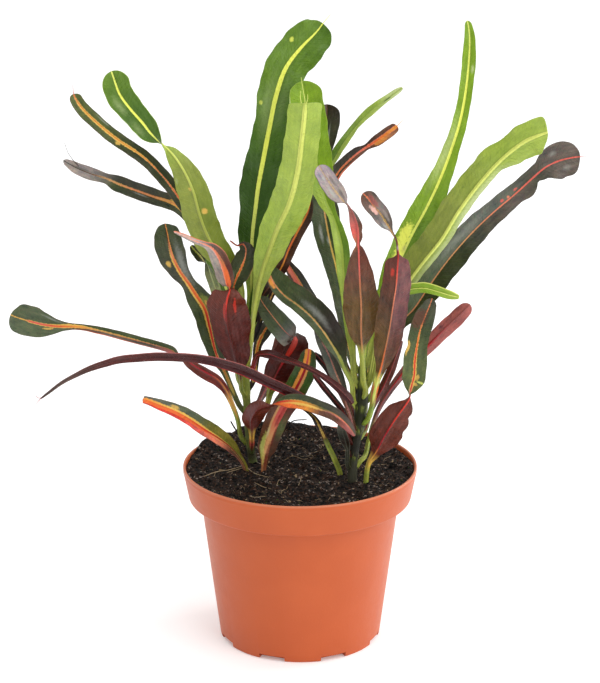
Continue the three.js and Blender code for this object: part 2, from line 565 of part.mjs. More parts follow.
function soilGeometry(holes) {
  const ledge = POT_HEIGHT - RIM_BAND_HEIGHT + WALL + CLEARANCE;
  const topRadius = RIM_RADIUS - WALL - 0.4 - CLEARANCE;
  const side = [
    [BASE_RADIUS - WALL - CLEARANCE, FLOOR + CLEARANCE],
    [NECK_RADIUS - WALL - CLEARANCE, ledge],
    [BAND_FOOT_RADIUS - WALL - CLEARANCE, ledge],
  ];
  const points = [new THREE.Vector3(0, 0, FLOOR + CLEARANCE)];
  const ringAt = (radius, heightAt) => {
    for (let k = 0; k < POT_SIDES; k++) {
      const angle = (k * 2 * Math.PI) / POT_SIDES;
      const x = radius * Math.cos(angle);
      const y = radius * Math.sin(angle);
      points.push(new THREE.Vector3(x, y, heightAt(x, y)));
    }
  };
  side.forEach(([radius, height]) => ringAt(radius, () => height));
  for (let ring = SOIL_RINGS; ring > 0; ring--) ringAt((topRadius * ring) / SOIL_RINGS, soilTop);
  points.push(new THREE.Vector3(0, 0, soilTop(0, 0)));
  const faces = [];
  const rings = side.length + SOIL_RINGS;
  const at = (ring, k) => 1 + ring * POT_SIDES + (k % POT_SIDES);
  for (let k = 0; k < POT_SIDES; k++) {
    faces.push(0, at(0, k + 1), at(0, k));
    for (let ring = 0; ring < rings - 1; ring++) {
      faces.push(at(ring, k), at(ring, k + 1), at(ring + 1, k + 1));
      faces.push(at(ring, k), at(ring + 1, k + 1), at(ring + 1, k));
    }
    faces.push(at(rings - 1, k), at(rings - 1, k + 1), points.length - 1);
  }
  let soil = solidOf(meshGeometry(points, faces));
  for (const [x, y, radius, depth] of holes) {
    const surface = soilTop(x, y);
    soil = soil.subtract(solidOf(verticalPin(x, y, radius, surface - depth, surface + 10)));
  }
  return geometryOf(soil);
}

// A value listed at even steps of the curve, read between them on a smooth line without overshoot.
function between(values, place) {
  const low = Math.min(Math.floor(place), values.length - 2);
  const share = place - low;
  const eased = share * share * (3 - 2 * share);
  return values[low] + (values[low + 1] - values[low]) * eased;
}

function stemOf(name) {
  const { path, girth } = STEMS[name];
  const above = path.map((row) => seen(...row));
  const curve = new THREE.CatmullRomCurve3(above, false, "centripetal");
  return {
    curve,
    radiusAt: (share) => between(girth, curve.getUtoTmapping(share) * (girth.length - 1)),
  };
}

const stems = { left: stemOf("left"), right: stemOf("right") };

// The stem swells a little at each knot, where leaves have grown or fallen.
function stemGeometry(name) {
  const { curve, radiusAt } = stems[name];
  const { knots } = STEMS[name];
  const start = curve.getPoint(0);
  const points = [];
  const ringRound = (centre, along, radius) => {
    const side = new THREE.Vector3(1, 0, 0).cross(along).normalize();
    const other = along.clone().cross(side).normalize();
    for (let k = 0; k < STEM_SIDES; k++) {
      const angle = (k * 2 * Math.PI) / STEM_SIDES;
      points.push(
        centre
          .clone()
          .addScaledVector(side, radius * Math.cos(angle))
          .addScaledVector(other, radius * Math.sin(angle)),
      );
    }
  };
  const up = new THREE.Vector3(0, 0, 1);
  ringRound(start.clone().setZ(start.z - STEM_DEPTH + 1), up, radiusAt(0) * 0.8);
  ringRound(start.clone().setZ(start.z - 2), up, radiusAt(0));
  for (let step = 0; step <= STEM_STEPS; step++) {
    const share = step / STEM_STEPS;
    const swell = Math.max(...knots.map((knot) => Math.exp(-(((share - knot) / KNOT_SPREAD) ** 2))));
    const along = step < 2 ? up : curve.getTangentAt(share);
    const radius = radiusAt(share) - KNOT_SWELL * (1 - (step < 2 ? 0 : swell));
    ringRound(curve.getPointAt(share), along, step === STEM_STEPS ? radius / 2 : radius);
  }
  const faces = [];
  const rings = points.length / STEM_SIDES;
  const at = (ring, k) => ring * STEM_SIDES + (k % STEM_SIDES);
  for (let ring = 0; ring < rings - 1; ring++) {
    for (let k = 0; k < STEM_SIDES; k++) {
      faces.push(at(ring, k), at(ring, k + 1), at(ring + 1, k + 1));
      faces.push(at(ring, k), at(ring + 1, k + 1), at(ring + 1, k));
    }
  }
  for (let k = 1; k < STEM_SIDES - 1; k++) {
    faces.push(at(0, 0), at(0, k + 1), at(0, k));
    faces.push(at(rings - 1, 0), at(rings - 1, k), at(rings - 1, k + 1));
  }
  return meshGeometry(points, faces);
}

// The first two points of a leaf's spine: square out of the stem, or straight up out of its soil hole.
function startOf(leaf) {
  if (leaf.root) {
    const [x, y] = leaf.root;
    const surface = soilTop(x, y);
    return [new THREE.Vector3(x, y, surface - ROOT_DEPTH + 0.5), new THREE.Vector3(x, y, surface + 1)];
  }
  const [name, share, degrees] = leaf.on;
  const { curve, radiusAt } = stems[name];
  const reach = Math.min(share, HIGHEST_SOCKET);
  const angle = THREE.MathUtils.degToRad(degrees);
  const along = curve.getTangentAt(reach);
  const outward = new THREE.Vector3(Math.cos(angle), Math.sin(angle), 0);
  outward.addScaledVector(along, -outward.dot(along)).normalize();
  const skin = curve.getPointAt(reach).addScaledVector(outward, radiusAt(reach) + SOCKET_GAP);
  return [skin, skin.clone().addScaledVector(outward, SOCKET_OUT).addScaledVector(along, SOCKET_UP)];
}

// A leaf's spine with its widths and turns, and where along it the blade is measured.
function leafSpine(leaf) {
  const [start, second] = startOf(leaf);
  const points = [start, second, ...leaf.rows.map(([across, up, back]) => seen(across, up, back))];
  const stalk = leaf.rows[0][3];
  const widths = [Math.min(stalk, 3), Math.min(stalk, 2.8), ...leaf.rows.map((row) => row[3])];
  const turns = [leaf.rows[0][4], leaf.rows[0][4], ...leaf.rows.map((row) => row[4])];
  const curve = new THREE.CatmullRomCurve3(points, false, "centripetal");
  const places = [0];
  for (let k = 1; k < points.length; k++) {
    const pieces = Math.ceil(points[k].distanceTo(points[k - 1]) / STATION_STEP);
    for (let piece = 1; piece <= pieces; piece++) places.push(k - 1 + piece / pieces);
  }
  return { curve, widths, turns, places, last: points.length - 1 };
}

// Six corners of the blade's section: left edge, midrib and right edge above, then the same below.
function sectionAt(spine, place, travelled) {
  const share = place / spine.last;
  const centre = spine.curve.getPoint(share);
  const along = spine.curve.getTangent(share);
  const toEye = EYE.clone().sub(centre).normalize();
  const flatSide = along.clone().cross(toEye).normalize();
  const flatNormal = flatSide.clone().cross(along);
  const turn = THREE.MathUtils.degToRad(between(spine.turns, place));
  const side = flatSide.clone().multiplyScalar(Math.cos(turn)).addScaledVector(flatNormal, Math.sin(turn));
  const normal = side.clone().cross(along);
  const half = between(spine.widths, place) / 2;
  const rib = THREE.MathUtils.lerp(STALK_RIB, TIP_RIB, Math.min(1, share * 1.6));
  const wave = (travelled * 2 * Math.PI) / WAVE_LENGTH;
  const corner = (sign, lift, rise) =>
    centre
      .clone()
      .addScaledVector(side, sign * half * Math.cos(GUTTER))
      .addScaledVector(normal, lift + rise);
  const edgeRise = half * Math.sin(GUTTER);
  const leftRise = edgeRise + WAVE_HEIGHT * half * Math.sin(wave);
  const rightRise = edgeRise + WAVE_HEIGHT * half * Math.sin(wave + WAVE_LAG);
  const above = BLADE_THICKNESS / 2;
  return [
    corner(-1, above, leftRise),
    corner(0, above, 0),
    corner(1, above, rightRise),
    corner(1, -above, rightRise),
    corner(0, -above - rib, 0),
    corner(-1, -above, leftRise),
  ];
}

function leafGeometry(leaf) {
  const spine = leafSpine(leaf);
  const points = [];
  let travelled = 0;
  let before = spine.curve.getPoint(0);
  for (const place of spine.places) {
    const here = spine.curve.getPoint(place / spine.last);
    travelled += here.distanceTo(before);
    before = here;
    points.push(...sectionAt(spine, place, travelled));
  }
  const faces = [];
  const rings = points.length / 6;
  for (let ring = 0; ring < rings - 1; ring++) {
    const a = ring * 6;
    const b = a + 6;
    // The blade's upper face and the lower one beneath it are split along the same diagonals.
    for (const [p, q] of [[0, 1], [1, 2], [2, 3]]) {
      faces.push(a + p, a + q, b + q);
      faces.push(a + p, b + q, b + p);
    }
    for (const [p, q] of [[3, 4], [4, 5], [5, 0]]) {
      faces.push(a + p, a + q, b + p);
      faces.push(a + q, b + q, b + p);
    }
  }
  const end = (rings - 1) * 6;
  faces.push(0, 4, 1, 0, 5, 4, 1, 3, 2, 1, 4, 3);
  faces.push(end, end + 1, end + 4, end, end + 4, end + 5);
  faces.push(end + 1, end + 2, end + 3, end + 1, end + 3, end + 4);
  return meshGeometry(points, faces);
}

const croton = new THREE.Group();

function addMesh(name, geometry, colour, roughness) {
  const material = new THREE.MeshStandardMaterial({ color: colour, roughness, metalness: 0 });
  const mesh = new THREE.Mesh(geometry, material);
  mesh.name = name;
  croton.add(mesh);
}

const holes = [];
for (const name of Object.keys(STEMS)) {
  const base = stems[name].curve.getPoint(0);
  holes.push([base.x, base.y, stems[name].radiusAt(0) + STEM_HOLE_GAP, STEM_DEPTH]);
}
for (const { root } of Object.values(LEAVES)) {
  if (root) holes.push([...root, LEAF_HOLE_RADIUS, ROOT_DEPTH]);
}

addMesh("pot", potGeometry(), 0xcf6a47, 0.5);
addMesh("soil", soilGeometry(holes), 0x241c18, 0.95);
for (const name of Object.keys(STEMS)) {
  addMesh("stem_" + name, stemGeometry(name), STEMS[name].colour, 0.6);
}
for (const [name, leaf] of Object.entries(LEAVES)) {
  addMesh(name, leafGeometry(leaf), LEAF_COLOURS[leaf.kind], 0.4);
}

export default croton;
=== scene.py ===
# Potted croton: two stems of a narrow-leaved croton in a terracotta-coloured pot of dark peat.
# Tables and paths are in millimetres, +Z up and +Y away from the viewer; meshes and lamps are in metres.
import math
import random

import bmesh
import bpy
import numpy as np
from mathutils import Matrix, Vector, noise


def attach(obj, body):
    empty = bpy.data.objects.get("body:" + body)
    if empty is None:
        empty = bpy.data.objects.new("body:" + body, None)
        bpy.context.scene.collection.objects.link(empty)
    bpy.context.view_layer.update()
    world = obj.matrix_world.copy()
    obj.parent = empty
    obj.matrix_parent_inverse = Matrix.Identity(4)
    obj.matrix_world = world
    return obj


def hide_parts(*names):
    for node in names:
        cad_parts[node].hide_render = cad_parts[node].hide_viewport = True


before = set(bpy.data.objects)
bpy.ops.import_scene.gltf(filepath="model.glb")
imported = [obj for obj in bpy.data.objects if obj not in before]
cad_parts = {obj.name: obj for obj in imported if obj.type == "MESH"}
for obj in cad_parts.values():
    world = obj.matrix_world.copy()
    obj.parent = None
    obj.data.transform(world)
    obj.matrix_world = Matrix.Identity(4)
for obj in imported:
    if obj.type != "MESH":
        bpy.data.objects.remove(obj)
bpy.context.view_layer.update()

MM = 0.001

# Pot
POT_HEIGHT = 100
BASE_RADIUS = 45
NECK_RADIUS = 55.4
RIM_BAND_HEIGHT = 18.5
BAND_FOOT_RADIUS = 61.8
RIM_RADIUS = 65
LIP = 1.3
LIP_BEAD = 0.25
LIP_BEAD_FOOT = 3.4
LIP_BEAD_TOP = 2.6
WALL = 1.8
FLOOR = 4
POT_SIDES = 192
SHARP_CORNER = 35
FOOT_COUNT = 8
NOTCH_HEIGHT = 3
NOTCH_WIDTH = 15
NOTCH_DEPTH = 5
FRONT_FOOT_TURN = math.radians(2)
POT_FACE = "c96033"
POT_DEEP = "c55d31"
# The pale tone serves the scuffs and the painted highlight on the lip
POT_PALE = "da9070"

# Soil
SOIL_LEVEL = 97
SOIL_CROWN = 2
HEAPS = [
    {"height": 6.6, "x": -20, "y": 57, "spread_x": 25, "spread_y": 8},
    {"height": 5.4, "x": -50, "y": 37, "spread_x": 15, "spread_y": 13},
]
SOIL_RADIUS = 63.3
SOIL_GAP = 0.3
SOIL_RINGS = 96
SOIL_SIDES = 220

# The pigments of each tone of crumb (dark, middle, light), then each lot of crumbs: name, tone, how many on
# a square metre, smallest and largest radius, seed.
CRUMB_TONES = {
    "peat_crumb": ("peat", "humus", "thatch"),
    "pale_crumb": ("humus", "straw", "milky"),
    "moss_crumb": ("ivy", "pea", "olive"),
}
CRUMBS = [
    ("soil_crumbs_fine", "peat_crumb", 240000.0, 0.25, 0.7, 3),
    ("soil_crumbs_coarse", "peat_crumb", 42000.0, 0.6, 1.5, 7),
    ("soil_specks_pale", "pale_crumb", 6000.0, 0.15, 0.5, 11),
    ("soil_specks_moss", "moss_crumb", 5000.0, 0.2, 0.6, 13),
]
SOIL_GRAIN = 900
CRUMB_GRAIN = 500
SOIL_SHOWS_ABOVE = 85

# A litter of short fibres strewn about the soil
LITTER_COUNT = 46
LITTER_SEED = 21
LITTER_REACH = 58
LITTER_END = 60
LITTER_LENGTHS = (3, 11)
LITTER_WIDTHS = (0.14, 0.3)
LITTER_LIFTS = (0.1, 0.6)
LITTER_BEND = 0.25
LITTER_POINTS = 4
PALE_SHARE = 0.6

# Fibres and twigs on the soil: name, thickness, then (x, y, lift above the soil).
FIBRES = [
    ("fibre_long_left", 0.45, [(-53, -18, 0.8), (-46, -10, 1.0), (-38, -6, 1.2), (-31, -3, 1.4)]),
    ("fibre_bent", 0.45, [
        (-42, -16, 0.9), (-36, -8, 1.2), (-30, -8, 1.4), (-25, -13, 1.1), (-17, -21, 0.8),
    ]),
    ("fibre_short_left", 0.4, [(-25, -26, 0.7), (-20, -31, 0.8), (-16, -34, 0.6)]),
    ("fibre_front", 0.35, [(1, -17, 0.7), (0, -25, 0.9), (-1, -33, 0.7)]),
    ("fibre_middle", 0.3, [(-9, 8, 0.6), (-4, 11, 0.9), (2, 8, 0.7), (6, 9, 0.6)]),
    ("twig_back_left", 0.9, [(-35, 44, 0.5), (-38, 49, 3.5), (-40, 51, 6.5)]),
    ("twig_back", 0.7, [(-9, 50, 0.8), (-4, 54, 2.6), (4, 56, 4.4)]),
]

# Stems and leaves
STEM_DEPTH = 24
STEM_STATION = 0.6
STEM_SIDES = 28
BURIED_RINGS = 7
KNOT_SWELL = 0.25
KNOT_SPREAD = 0.025
SCAR_DEPTH = 0.5
SCAR_ABOVE_KNOT = 0.022
SCAR_SPREAD = 0.011
SCAR_TURN = 2.3
DOME_START = 0.93
BARK_FADE = 0.06
STATION = 1.5
TIP_STATIONS = 18
TIP_RUN = 10
THREAD_WIDTH = 0.45
THREAD_END = 0.45
THREAD_STATION = 0.7
THREAD_SIDES = 5
FIBRE_STATION = 0.8
FIBRE_SIDES = 6
BLADE_MIDDLE = 0.55
BLADE_EDGE = 0.28
STALK_WIDTH = 3
STALK_FLARE = 0.6
STALK_RIB = 1.7
TIP_RIB = 0.4
RIB_HALF_FOOT = 1.5
RIB_HALF_LOSS = 0.95
RIB_GROOVE = 0.22
RIB_COLUMNS = np.array([0, 0.35, 0.7, 1])
BLADE_COLUMNS = np.array([0.18, 0.38, 0.58, 0.76, 0.9, 0.975, 1])
GUTTER = math.radians(13)
GUTTER_CURVE = 1.35
WAVE_LENGTH = 27
WAVE_HEIGHT = 0.11
WAVE_LAG = 2.2
RIPPLE_HEIGHT = 0.04
FULL_HALF = 4

# The unevenness of a margin, in two waves: its share of the half width, its length, and by how much the
# leaf's own number and the side shift it.
UNEVENNESS = [(0.024, 2.9, 1.7, 1), (0.014, 1.3, 0.7, 2)]

# How the foot of a leaf is sunk into its stem or the soil
SOCKET_SINK = 1.2
SOCKET_DROP = 1.6
SOCKET_OUT = 1.7
SOCKET_UP = 2.2
ROOT_SINK = 6
HIGHEST_SOCKET = 0.985

# The viewer's eye, from which the tables give every place: across and up from the rim's middle in the
# picture plane, and how far behind the pot's axis.
RIM_CENTRE = np.array([0, 0, POT_HEIGHT], float)
EYE_DISTANCE = 1300
EYE_ELEVATION = math.radians(20.5)
GAZE_DROP = math.radians(17.5)
EYE = RIM_CENTRE + EYE_DISTANCE * np.array([0, -math.cos(EYE_ELEVATION), math.sin(EYE_ELEVATION)])
GAZE_UP = np.array([0, math.sin(GAZE_DROP), math.cos(GAZE_DROP)])
PHOTO_WIDTH = 600
FOCAL_PIXELS = 2334
SENSOR_WIDTH = 36

# Stems: "path" is (across, up, back), "girth" is the radius at each of these places, and "knots" are the
# shares of the length at which the knots lie.
STEMS = {
    "left": {
        "path": [
            (-26, 0.5, 4), (-28, 13, 5), (-29.5, 33, 6), (-30, 46, 7), (-29, 68, 8), (-28.5, 80, 8),
        ],
        "girth": [2.6, 2.5, 2.4, 2.4, 2.2, 1.8],
        "knots": [0.16, 0.36, 0.5, 0.66, 0.82],
    },
    "right": {
        "path": [
            (29, -8.4, -21), (30, 5.5, -20), (32, 18, -19), (34, 31, -17), (35, 45, -15), (34.5, 58, -14),
        ],
        "girth": [2.8, 2.7, 3.2, 3.7, 3.2, 2],
        "knots": [0.2, 0.42, 0.6, 0.8],
    },
}

# Leaves, each with what its keys give:
# "on" is (stem, share of its length, compass angle), and "root" is (x, y) for a leaf out of the soil.
# "rows" are (across, up, back, width), and then the turn where it isn't the leaf's usual "turn", or 0 where
# that isn't given: 0 shows the viewer the upper side, 180 the underside and 90 the edge.
# "tip" is the row, counted from the last, at which the blade stops; then how long its rounding is and how
# square, and the same for the right half where the halves differ.
# "lopsided" is for a midrib that runs off the middle: the share up to which it does, then what the half on
# each side is multiplied by, left and right of someone looking at the upper side.
# "nicks" are small bites out of a margin: (share of the length, side, depth as a share of the half, length).
# "hairs" are dried hairs beside the tip, each through points given as (across, up, back).
USUAL_TIP = (1, 1.2, 2)
EVEN_HALVES = (0, 1, 1)
LEAVES = {
    "leaf_tall_centre": {"on": ("left", 1, 100), "rows": [
        (-27.5, 94, 12, 4), (-27, 108, 14, 9), (-26.5, 127, 17, 16), (-24.5, 144, 20, 18),
        (-23.4, 153, 22, 21), (-19.9, 172, 27, 19), (-16.8, 188, 31, 17.6), (-13.5, 204, 36, 21, -4),
        (-8, 220, 41, 24, -8), (1, 232, 45, 24, -10), (7.5, 238.5, 47, 22, -10), (11, 242.5, 48, 20, -6),
        (12.8, 245, 48, 18), (17, 250, 49, 0.9),
    ], "tip": (2, 9, 2), "lopsided": (0.72, 1, 1.24), "nicks": [(0.3, 1, 0.06, 5)]},
    "leaf_front_pale": {"on": ("left", 0.72, 285), "turn": 180, "rows": [
        (-26.2, 79.7, -3, 3), (-23.6, 96, -7, 5.4), (-20.4, 109, -11, 11.6), (-17.2, 118, -14, 16),
        (-12.8, 130, -18, 19), (-5.8, 145, -23.5, 21), (-1.2, 163, -29, 19.6), (1, 180, -33, 18.6),
        (2.2, 191, -35, 18.2), (2.8, 199, -36, 17.6), (2.6, 203, -36, 16), (1.7, 208, -35, 1),
        (0.6, 215, -34, 0.9),
    ], "tip": (3.6, 2.4, 3.6), "hairs": [
        [(0.7, 200.5, -36.4), (0.2, 204, -36.6), (0.4, 207.5, -36.4)],
        [(3.6, 200.5, -36.4), (4.3, 203, -36.6), (4.2, 205.5, -36.4)],
    ]},
    "leaf_left_spoon": {"on": ("left", 0.93, 190), "turn": 180, "rows": [
        (-33.4, 97, 5, 5), (-40, 110, 2, 12), (-50, 124, -1, 17), (-55.7, 138, -4, 18),
        (-59.6, 152, -6, 17), (-64.6, 163, -8, 13), (-70.7, 172, -10, 8, 170), (-76.5, 177.4, -12, 3, 100),
        (-79.5, 180.3, -13, 8, 45), (-83.5, 184.4, -14, 11.5, 12), (-87.4, 189.4, -15, 13, 0),
        (-94.7, 197.7, -18, 14, 0), (-100.3, 205.5, -20, 15, 0), (-102.8, 212, -22, 15, 0),
        (-104.3, 216.5, -23, 13, 0), (-105, 218.4, -23, 12, 0),
    ], "tip": (1, 7.2, 2)},
    "leaf_left_amber": {"on": ("left", 0.9, 150), "rows": [
        (-36, 97, 13, 4), (-52, 126, 18, 6), (-66, 146, 22, 7), (-75.5, 159, 26, 8), (-87, 170.5, 30, 8),
        (-103, 181.5, 35, 8), (-116.5, 193, 39, 8), (-122.5, 199.5, 41, 7.6), (-125.8, 205.5, 42, 6.5),
        (-126.4, 211, 42, 0.9),
    ], "tip": (1.95, 3.6, 2.2)},
    "leaf_left_pale_tip": {"on": ("left", 0.83, 135), "rows": [
        (-35, 92, 19, 4), (-50, 120, 30, 6), (-66.8, 142.6, 37, 8), (-83.5, 149.3, 42, 9.5),
        (-100.3, 155.4, 46, 9.5), (-108, 158.8, 48, 6), (-116, 161.2, 50, 7.4), (-124, 164.4, 52, 6.6),
        (-129, 167.2, 53, 4.4), (-131.6, 168.8, 53, 1),
    ], "tip": (1, 2.6, 1.6), "hairs": [
        [(-121, 163.6, 52), (-125.6, 168.2, 52), (-129, 173, 52), (-131, 178.5, 52)],
    ]},
    "leaf_left_dark_spoon": {"on": ("left", 0.38, 185), "rows": [
        (-37.9, 41.8, 6, 3.2), (-41.8, 50.7, 5, 4), (-46.8, 61.8, 4, 9), (-50, 75, 4, 13),
        (-53, 86.3, 4, 14.5), (-58, 94, 5, 12), (-62.4, 100.8, 6, 8), (-66.8, 107, 7, 11),
        (-71, 115.3, 8, 15.5), (-73, 122.5, 8, 16), (-74.2, 128.7, 8, 14.5), (-75, 132, 8, 13),
        (-75.2, 133.6, 8, 12),
    ], "tip": (1, 7, 2)},
    "leaf_left_folded": {"on": ("left", 0.5, 235), "rows": [
        (-33.4, 51, -2, 4, 180), (-35.6, 58.5, -4, 14, 180), (-38.4, 68.5, -6, 20, 180),
        (-40.7, 78.5, -8, 22, 180), (-41.2, 86.3, -10, 22, 180), (-40.4, 92.3, -12, 19, 180),
        (-39.4, 95.8, -13, 11, 165), (-39.4, 97.8, -13.3, 4, 90), (-40.3, 99.6, -13.7, 6, 30),
        (-41.2, 102.8, -14.4, 9, 5), (-43, 108.8, -16, 10), (-45.6, 115, -17.2, 9.4),
        (-48.8, 119.6, -18.2, 6.8), (-53, 122, -19.4, 3.4), (-58.6, 124, -20.6, 3),
        (-64.5, 126.8, -21.4, 2.4), (-70.2, 129.2, -22, 0.9),
    ], "lopsided": (0.47, 1.22, 0.8)},
    "leaf_left_hood": {"on": ("left", 0.8, 230), "rows": [
        (-33.5, 87, 1, 3), (-37, 96.4, 0, 5), (-35.4, 103, -2, 10), (-32.6, 109.2, -4, 12.4),
        (-30.4, 115.4, -5, 11.6), (-30.2, 120, -6, 8.4), (-31.8, 122.2, -6, 3), (-34.8, 121.4, -6, 0.9),
        (-39, 124.2, -6, 0.9),
    ], "nicks": [(0.6, 1, 0.1, 1.5)]},
    "leaf_left_slim": {"on": ("left", 0.56, 195), "turn": 180, "rows": [
        (-36, 74, 6, 3), (-44.6, 90.8, 9, 6), (-49, 103, 10, 6, 170), (-52.5, 111.5, 9, 5.5, 90),
        (-55, 115, 9, 6, 20), (-58.5, 118.6, 8, 5, 0), (-60.7, 121.4, 8, 1, 0),
    ]},
    "leaf_centre_green": {"on": ("right", 0.8, 200), "rows": [
        (29, 63, -15, 3), (27, 72, -13, 3.2), (25.3, 86, -11.5, 3.4), (24.6, 98, -10, 5),
        (24, 110, -8, 7.6), (23.2, 120.8, -6, 8.2), (21.2, 129.4, -3, 7.2), (18.2, 138, 0, 5.2),
        (14.2, 147.4, 3, 10), (11, 160, 7, 16), (7.5, 178, 12, 18), (4.5, 196, 17, 19), (3, 205, 19, 18.5),
        (2, 210, 20, 17), (1.5, 213, 20, 16),
    ], "tip": (1, 8.6, 2)},
    "leaf_centre_dark": {"on": ("right", 0.92, 165), "rows": [
        (29.2, 69, -9, 3), (26.4, 78, -6, 5), (24.2, 88, -2, 8), (22.2, 100, 2, 11), (19.5, 112, 6, 13),
        (16.5, 124, 10, 15), (14, 138, 14, 16), (12.3, 149, 17, 15), (11.8, 160, 20, 12),
        (12.4, 171, 23, 9), (13.6, 180, 25, 12), (14.6, 189, 27, 15), (15, 195, 28, 14.5),
        (15, 198.5, 28, 13), (15, 200, 28, 12),
    ], "tip": (1, 6.6, 2.1)},
    "leaf_far_green": {"on": ("left", 0.94, 62), "turn": 50, "rows": [
        (-24, 90, 21, 3, 40), (-17.8, 104.7, 29, 5), (-5.6, 128.7, 38, 6.4, 55), (8.4, 152, 46, 6.8, 55),
        (18.3, 168, 51, 7.4), (25, 179.3, 55, 7.4), (34.5, 191, 59, 7), (45, 200.5, 62, 6, 45),
        (51.8, 205.3, 64, 4.8, 40), (57, 209.2, 65, 1, 0),
    ]},
    "leaf_far_amber": {"on": ("left", 0.85, 28), "rows": [
        (-20.5, 83, 13, 3), (-15, 95, 18, 3.4), (-8.4, 112, 26, 3.8), (5.6, 137, 33, 4.6),
        (16, 153.2, 37, 6.4), (22.3, 163.5, 40, 6.8), (31.7, 172.5, 43, 6), (36.8, 176, 45, 3.6),
        (43.4, 180.3, 46, 6.5), (49, 184.2, 47, 6.5), (54, 188, 48, 5), (57.4, 191.6, 48, 0.8),
    ], "tip": (2, 2.4, 2.2), "lopsided": (0.82, 1.3, 0.66)},
    "leaf_right_twisted": {"on": ("right", 0.72, 285), "turn": 180, "rows": [
        (35.3, 46, -23, 3.2), (35, 54.6, -26, 3.2), (34.5, 64.6, -29, 5), (34, 74, -32, 15),
        (34, 88, -35, 20), (33.4, 99, -37, 17), (32.9, 110.3, -39, 12), (32.6, 118.6, -40, 6),
        (32.3, 122, -41, 2, 170), (32.3, 127, -41, 6, 160), (31.7, 132.6, -42, 7, 150),
        (29, 139.8, -43, 6, 125), (25.6, 144.8, -44, 2.4, 85), (23.4, 147.2, -45, 7, 25),
        (19.5, 152, -46, 10, 5), (15.6, 157.6, -47, 10, 0), (12.3, 162.6, -48, 9, 0),
        (10.6, 166, -48, 8, 0),
    ], "tip": (1, 4.6, 2), "nicks": [(0.7, -1, 0.25, 1.6)]},
    "leaf_right_threaded": {"on": ("right", 0.5, 330), "turn": 180, "rows": [
        (41.5, 40, -24, 3.4), (43, 46.5, -28, 3.6), (45, 53, -32, 6), (47.3, 63, -36, 13),
        (49.6, 74, -40, 16), (51.8, 88, -44, 16), (53.5, 99, -47, 15.5), (54.2, 108.6, -49, 14),
        (54.5, 113, -50, 11), (54.6, 115.6, -50, 1.6, 170), (53.4, 124.2, -51, 1.2, 90),
        (50.9, 129.6, -51, 2, 40), (47.9, 134.2, -51, 7.5, 10), (44.6, 139.3, -51, 9.4, 0),
        (40.7, 143.7, -51, 9.4, 0), (37.9, 147.6, -50, 9, 0), (35, 150.5, -50, 8, 0),
    ], "tip": (1, 4.6, 2)},
    "leaf_tall_right": {"on": ("right", 0.93, 45), "rows": [
        (41, 70, -6, 3), (44.5, 88, -1, 5), (50, 102, 3, 12), (56, 114, 7, 16), (62.6, 128, 11, 16.5),
        (71, 143.5, 15, 16), (78, 158.5, 19, 12.4), (84.2, 175, 23, 9.4), (89, 190.5, 27, 8.2),
        (92, 206, 31, 7.6), (93.8, 222, 34, 7.8), (94.4, 236, 36, 6.4), (93.8, 243, 37, 4.4),
        (93, 246.5, 37, 3),
    ], "tip": (1, 3, 1.8)},
    "leaf_right_pale": {"on": ("right", 0.86, 345), "turn": 180, "rows": [
        (42.5, 68.5, -14, 3), (51.8, 86, -17, 6), (58, 97, -20, 11), (63.3, 105, -22, 15),
        (69, 112.5, -25, 15.5), (79, 125, -30, 15.5), (88, 139.7, -35, 15.5), (99, 154.7, -41, 15),
        (110.4, 167.5, -48, 15.5), (119, 175, -53, 16.5), (126.5, 180, -57, 18.5),
        (132.5, 182.5, -60, 18.5), (136, 183.8, -61, 18), (137.8, 184.4, -62, 17),
    ], "tip": (1, 8.5, 1.35, 3.2, 2.6), "lopsided": (0.84, 0.52, 1.34)},
    "leaf_right_long_dark": {"on": ("right", 0.68, 15), "rows": [
        (46, 62, -11, 3), (55.7, 78.5, -9, 8), (63, 85.8, -7, 12), (73, 100.5, -4, 16),
        (83.2, 114.3, -1, 17), (96, 128.8, 3, 15), (107, 139.3, 6, 13), (121, 151.2, 10, 11.5),
        (129.7, 159.2, 13, 10.4), (133.8, 162.8, 14.3, 11), (137, 165.2, 15.3, 16), (143.2, 168.2, 17, 20),
        (149.3, 169.9, 18, 19.5), (153.6, 170.6, 19, 18), (155.8, 170.8, 19, 17), (160.4, 170.6, 19, 0.9),
    ], "tip": (2, 8.8, 2), "nicks": [(0.787, 1, -0.3, 4), (0.825, 1, 0.3, 2)]},
    "leaf_right_bright": {"on": ("right", 0.79, 318), "turn": 30, "rows": [
        (44.6, 74, -22, 3), (52, 90, -27, 5), (57.4, 95.6, -30, 6), (63, 97.2, -32, 6.8),
        (69.6, 97.5, -34, 6.8), (76.3, 95.8, -36, 6), (83.5, 93.6, -38, 5), (88.6, 92.5, -39, 2),
    ]},
    "leaf_front_waisted": {"root": (36, -25), "rows": [
        (38.2, 0, -27, 2.8, 180), (42, 6, -30, 6, 180), (46, 13.4, -33, 17, 180),
        (49.9, 20, -36, 17.5, 180), (54.6, 27, -39, 14.5, 180), (58, 31.6, -41, 9.5, 180),
        (60.4, 36, -43, 3, 140), (60.9, 38.4, -43.4, 2.2, 70), (61.8, 42.4, -44, 7.5, 8),
        (63.5, 49, -45, 13), (64, 57.4, -46, 13), (65.2, 65.7, -47, 11.5), (66.8, 74, -48, 11.5),
        (69.6, 81.9, -49, 11), (71.9, 87.4, -50, 8), (73.5, 91.9, -50, 1),
    ], "tip": (1, 4, 1.8), "nicks": [(0.37, -1, 0.14, 2.6), (0.45, -1, 0.2, 2), (0.78, -1, 0.12, 2.5)]},
    "leaf_right_rose": {"on": ("right", 0.12, 20), "turn": 180, "rows": [
        (36.2, 4.5, -15, 2.6), (38.2, 12.8, -13, 2.6), (40.5, 21.7, -12, 2.6), (43.8, 30.6, -11, 3),
        (49, 39.5, -10, 4), (57.4, 50.7, -9, 5), (64, 58.5, -9, 6.5), (71.3, 65.7, -9, 8),
